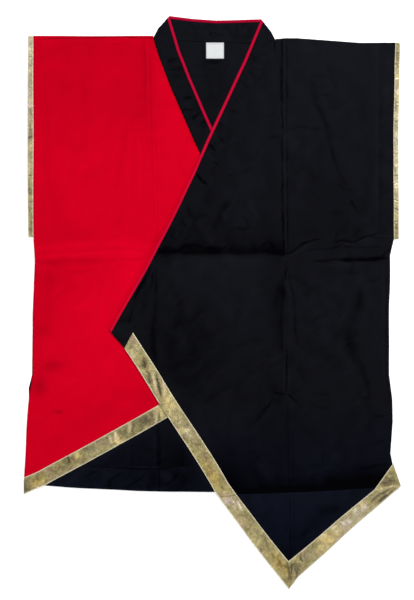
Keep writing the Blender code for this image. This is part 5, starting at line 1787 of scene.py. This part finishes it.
cuffRightFront = {
    **cuffDefaults,
    "node": "cuff_right_front",
    "flat": (11, 362),
    "seed": 51,
    "folds": [
        fold([(-340, 31), (-334, 33), (-327, 33)], 1.6, 1.6, -0.4, -0.6, fade=3),
        fold([(-340, 180), (-334, 179), (-328, 176)], 1.8, 2.6, -0.5, -0.9, fade=3),
        fold([(-340, 246), (-334, 247), (-327, 247)], 1.6, 1.6, -0.5, -0.9, fade=3),
        fold([(-338, 120), (-333, 124), (-327, 122)], 2, 2, 0.4, 0.7, fade=3),
        fold([(-337, 297), (-333, 295), (-327, 296)], 1.6, 1.6, -0.4, -0.7, fade=3),
    ],
    "swells": [
        swell(-334, 50, 8, 100, 0, 0, 0.24, -0.75),
        swell(-334, 190, 8, 120, 0, 0, 0, -0.35),
        swell(-336, 22, 3, 6, 0, 0.1, 0.4),
        swell(-331, 68, 3, 8, 0, 0, -0.35),
        swell(-336, 94, 3, 7, 0, 0.1, 0.3),
        swell(-332, 168, 3, 10, 0, 0, -0.35),
        swell(-336, 236, 3, 8, 0, 0.1, 0.3),
        swell(-334, 14, 8, 22, 0, 0, 0.1),
        swell(-333, 300, 6, 14, 0, 0, 0.12),
        swell(-333, 277, 3, 9, 20, 0, -0.4),
        swell(-330, 334, 4, 16, 0, 0, -0.3),
    ],
}
cuffLeftFront = {
    **cuffDefaults,
    "node": "cuff_left_front",
    "flat": (11, 353),
    "seed": 52,
    "folds": [
        fold([(320, 74), (326, 74), (332, 73)], 1.6, 1.6, 0.4, 0.9, fade=3),
        fold([(322, 115), (326, 116), (331, 116)], 1.4, 1.4, -0.5, -0.7, fade=3),
        fold([(321, 150), (326, 152), (332, 149)], 1.4, 2.4, -0.4, -0.5, fade=3),
        fold([(320, 248), (326, 248), (331, 249)], 1.4, 1.4, -0.4, -0.6, fade=3),
        fold([(320, 264), (326, 261), (332, 262)], 1.4, 1.4, -0.4, -0.5, fade=3),
        fold([(323, 306), (328, 309), (333, 311)], 1.4, 1.4, -0.4, -0.6, fade=3),
        fold([(320, 206), (326, 208), (332, 207)], 1.4, 1.4, -0.4, -0.5, fade=3),
        fold([(320, 290), (326, 292), (333, 294)], 1.4, 1.4, -0.5, -0.9, fade=3),
        fold([(320, 232), (326, 230), (332, 232)], 1.6, 1.6, 0.4, 0.6, fade=3),
        fold([(321, 330), (327, 331), (333, 330)], 2, 2, -0.4, -0.5, fade=3),
    ],
    "swells": [
        swell(326, 28, 8, 30, 0, 0, -0.4),
        swell(326, 195, 8, 115, 0, 0, 0.1, -1),
        swell(326, 168, 8, 14, 0, 0, -0.16),
        swell(326, 342, 8, 14, 0, 0, -0.3),
        swell(329, 96, 3, 6, 20, 0.1, 0.5, -0.3),
        swell(324, 124, 3, 5, 0, 0, -0.4),
        swell(329, 178, 3, 7, 0, 0.1, 0.5, -0.3),
        swell(324, 240, 3, 6, 0, 0, -0.4),
        swell(328, 262, 3, 6, 0, 0.1, 0.45),
    ],
}
cuffRightBack = {**cuffDefaults, "node": "cuff_right_back", "flat": (11, 362), "seed": 53,
                 "coveredBy": ["cuff_right_front"]}
cuffLeftBack = {**cuffDefaults, "node": "cuff_left_back", "flat": (11, 353), "seed": 54,
                "coveredBy": ["cuff_left_front"]}

cloths = {
    "backPanel": (backPanel, blackCloth, ["floor"]),
    "backHem": (backHem, blackCloth, ["backPanel"]),
    "neckLabel": (neckLabel, whiteTape, ["backPanel"]),
    "collarBack": (collarBack, blackCloth, ["floor"]),
    "pipingBack": (pipingBack, crimsonPiping, ["floor"]),
    "rightFront": (rightFront, redCloth, ["backPanel", "backHem"]),
    "collarRight": (collarRight, blackCloth, ["backPanel", "collarBack"]),
    "pipingRight": (pipingRight, crimsonPiping, ["backPanel", "pipingBack"]),
    "leftFront": (leftFront, blackCloth, ["backPanel", "backHem", "rightFront"]),
    "collarLeft": (collarLeft, blackCloth, ["backPanel", "collarBack", "rightFront"]),
    "pipingLeft": (pipingLeft, crimsonPiping, ["pipingBack", "rightFront"]),
    "hemBandRight": (hemBandRight, goldFoil, ["rightFront"]),
    "hemBandLong": (hemBandLong, goldFoil, ["leftFront"]),
    "hemBandShort": (hemBandShort, goldFoil, ["leftFront"]),
    "cuffRightBack": (cuffRightBack, goldFoil, ["floor"]),
    "cuffLeftBack": (cuffLeftBack, goldFoil, ["floor"]),
    "cuffRightFront": (cuffRightFront, goldFoil, ["cuffRightBack"]),
    "cuffLeftFront": (cuffLeftFront, goldFoil, ["cuffLeftBack"]),
}
made = {name: makeCloth(name, piece, paint) for name, (piece, paint, _) in cloths.items()}


# stitches

stitch = {
    "length": 2.4,
    "width": 0.55,
    "height": 0.5,
    "sink": 0.08,  # how deep it is pulled into the cloth
    "ends": 0.18,  # how far its ends turn down
    "pitch": 3.3,
    "closePitch": 2.9,  # along the label
    "tackPitch": 1.0,
    "inset": 1.1,  # from a band's edge
    "unevenTurn": 4,  # degrees
}


def makeStitch():
    bpy.ops.mesh.primitive_uv_sphere_add(segments=8, ring_count=6, radius=mm)
    thing = bpy.context.object
    bpy.ops.object.mode_set(mode="EDIT")
    bpy.ops.mesh.select_all(action="SELECT")
    bpy.ops.transform.rotate(value=math.pi / 2, orient_axis="Y", center_override=(0, 0, 0))
    bpy.ops.transform.resize(value=(stitch["length"] / 2, stitch["width"] / 2,
                                    stitch["height"] / 2))
    bpy.ops.mesh.select_all(action="DESELECT")
    bpy.ops.object.mode_set(mode="OBJECT")
    for vert in thing.data.vertices:
        vert.select = abs(vert.co.x) > 0.4 * stitch["length"] * mm
    bpy.ops.object.mode_set(mode="EDIT")
    bpy.ops.transform.translate(value=(0, 0, -stitch["ends"] * mm))
    bpy.ops.object.mode_set(mode="OBJECT")
    thing.select_set(False)
    thing.data.shade_smooth()
    return thing


def stepsAlong(path, pitch):
    # places and ways at an even pitch along a path
    way = np.diff(path, axis=0)
    far = np.concatenate([[0], np.cumsum(np.hypot(way[:, 0], way[:, 1]))])
    at = np.arange(pitch / 2, far[-1], pitch)
    places = np.stack([np.interp(at, far, path[:, 0]), np.interp(at, far, path[:, 1])], axis=1)
    ways = way[np.clip(np.searchsorted(far, at) - 1, 0, len(way) - 1)]
    return places, np.arctan2(ways[:, 1], ways[:, 0])


def longEdges(band):
    # the runs of an outline that go along a band, moved inwards
    rim = rims[band["node"]]
    runs = []
    for a, b in edgesOf(rim):
        way = b - a
        if not runsAlong(way, band["edgeAngle"]):
            runs.append([])
            continue
        inward = np.array([-way[1], way[0]]) / math.hypot(*way) * stitch["inset"]
        if not runs or not runs[-1]:
            runs.append([a + inward])
        runs[-1].append(b + inward)
    runs = [np.array(run) for run in runs if run]
    if len(runs) > 2 and np.linalg.norm(runs[-1][-1] - runs[0][0]) < 1:
        runs[0] = np.vstack([runs.pop(), runs[0]])
    return runs


def sew(name, template, piece, runs, paint, turn, pitch):
    # a row of stitches along each run, turned so many degrees from its way
    bpy.ops.object.select_all(action="DESELECT")
    for path in runs:
        places, ways = stepsAlong(path, pitch)
        heights = topOf(piece, places)
        for number, ((x, y), height, way) in enumerate(zip(places, heights, ways)):
            copy = bpy.data.objects.new(name, template.data.copy())
            bpy.context.scene.collection.objects.link(copy)
            lean = math.radians(turn + stitch["unevenTurn"] * math.sin(number * 2.3))
            spot = Matrix.Translation(worldPlace(x, -y, height - stitch["sink"]))
            copy.data.transform(spot @ Matrix.Rotation(way + lean, 4, "Z"))
            copy.select_set(True)
            bpy.context.view_layer.objects.active = copy
    bpy.ops.object.join()
    thing = bpy.context.object
    thing.name = name
    thing.data.materials.clear()
    thing.data.materials.append(paint)
    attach(thing, "root")
    thing.select_set(False)
    print(f"{name}: {len(thing.data.polygons)} faces")
    return thing


def lineOf(*places):
    return smoothPath(list(places), 2.0)


template = makeStitch()
running = (0, stitch["pitch"])  # a stitch's turn from the way of its line, and its pitch
tack = (90, stitch["tackPitch"])
seams = {
    "backHemStitches": ("backHem", [lineOf((-236, 770), (-157, 773), (-117, 775), (-90, 774),
                                           (-60, 772), (-20, 771))], blackThread, *running),
    "facingStitchesLeft": ("leftFront", [lineOf((291, 12), (291, 180), (292, 357)),
                                         lineOf((293, 358), (317, 359))], blackThread, *running),
    "facingStitchesRight": ("rightFront", [lineOf((-306, 2), (-308, 148), (-307, 362))],
                            redThread, *running),
    "tackLeftSide": ("leftFront", [lineOf((264, 648), (279, 646))], blackThread, *tack),
    "tackLeftPocket": ("leftFront", [lineOf((291, 679), (305, 679))], blackThread, *tack),
    "tackLeftMiddle": ("leftFront", [lineOf((92, 740), (97, 744), (103, 740))],
                       blackThread, *tack),
    "tackRight": ("rightFront", [lineOf((-291, 672), (-284, 674), (-277, 672))],
                  redThread, *tack),
    "labelStitches": ("neckLabel", [lineOf((-15, 11), (15, 11))],
                      whiteTape, 0, stitch["closePitch"]),
    "hemBandRightStitches": ("hemBandRight", longEdges(hemBandRight), goldThread, *running),
    "hemBandLongStitches": ("hemBandLong", longEdges(hemBandLong), goldThread, *running),
    "hemBandShortStitches": ("hemBandShort", longEdges(hemBandShort), goldThread, *running),
}
trims = {name: [] for name in cloths}
for name, (on, runs, thread, turn, pitch) in seams.items():
    trims[on].append(sew(name, template, cloths[on][0], runs, thread, turn, pitch))
bpy.data.objects.remove(template)
print("stitches sewn")
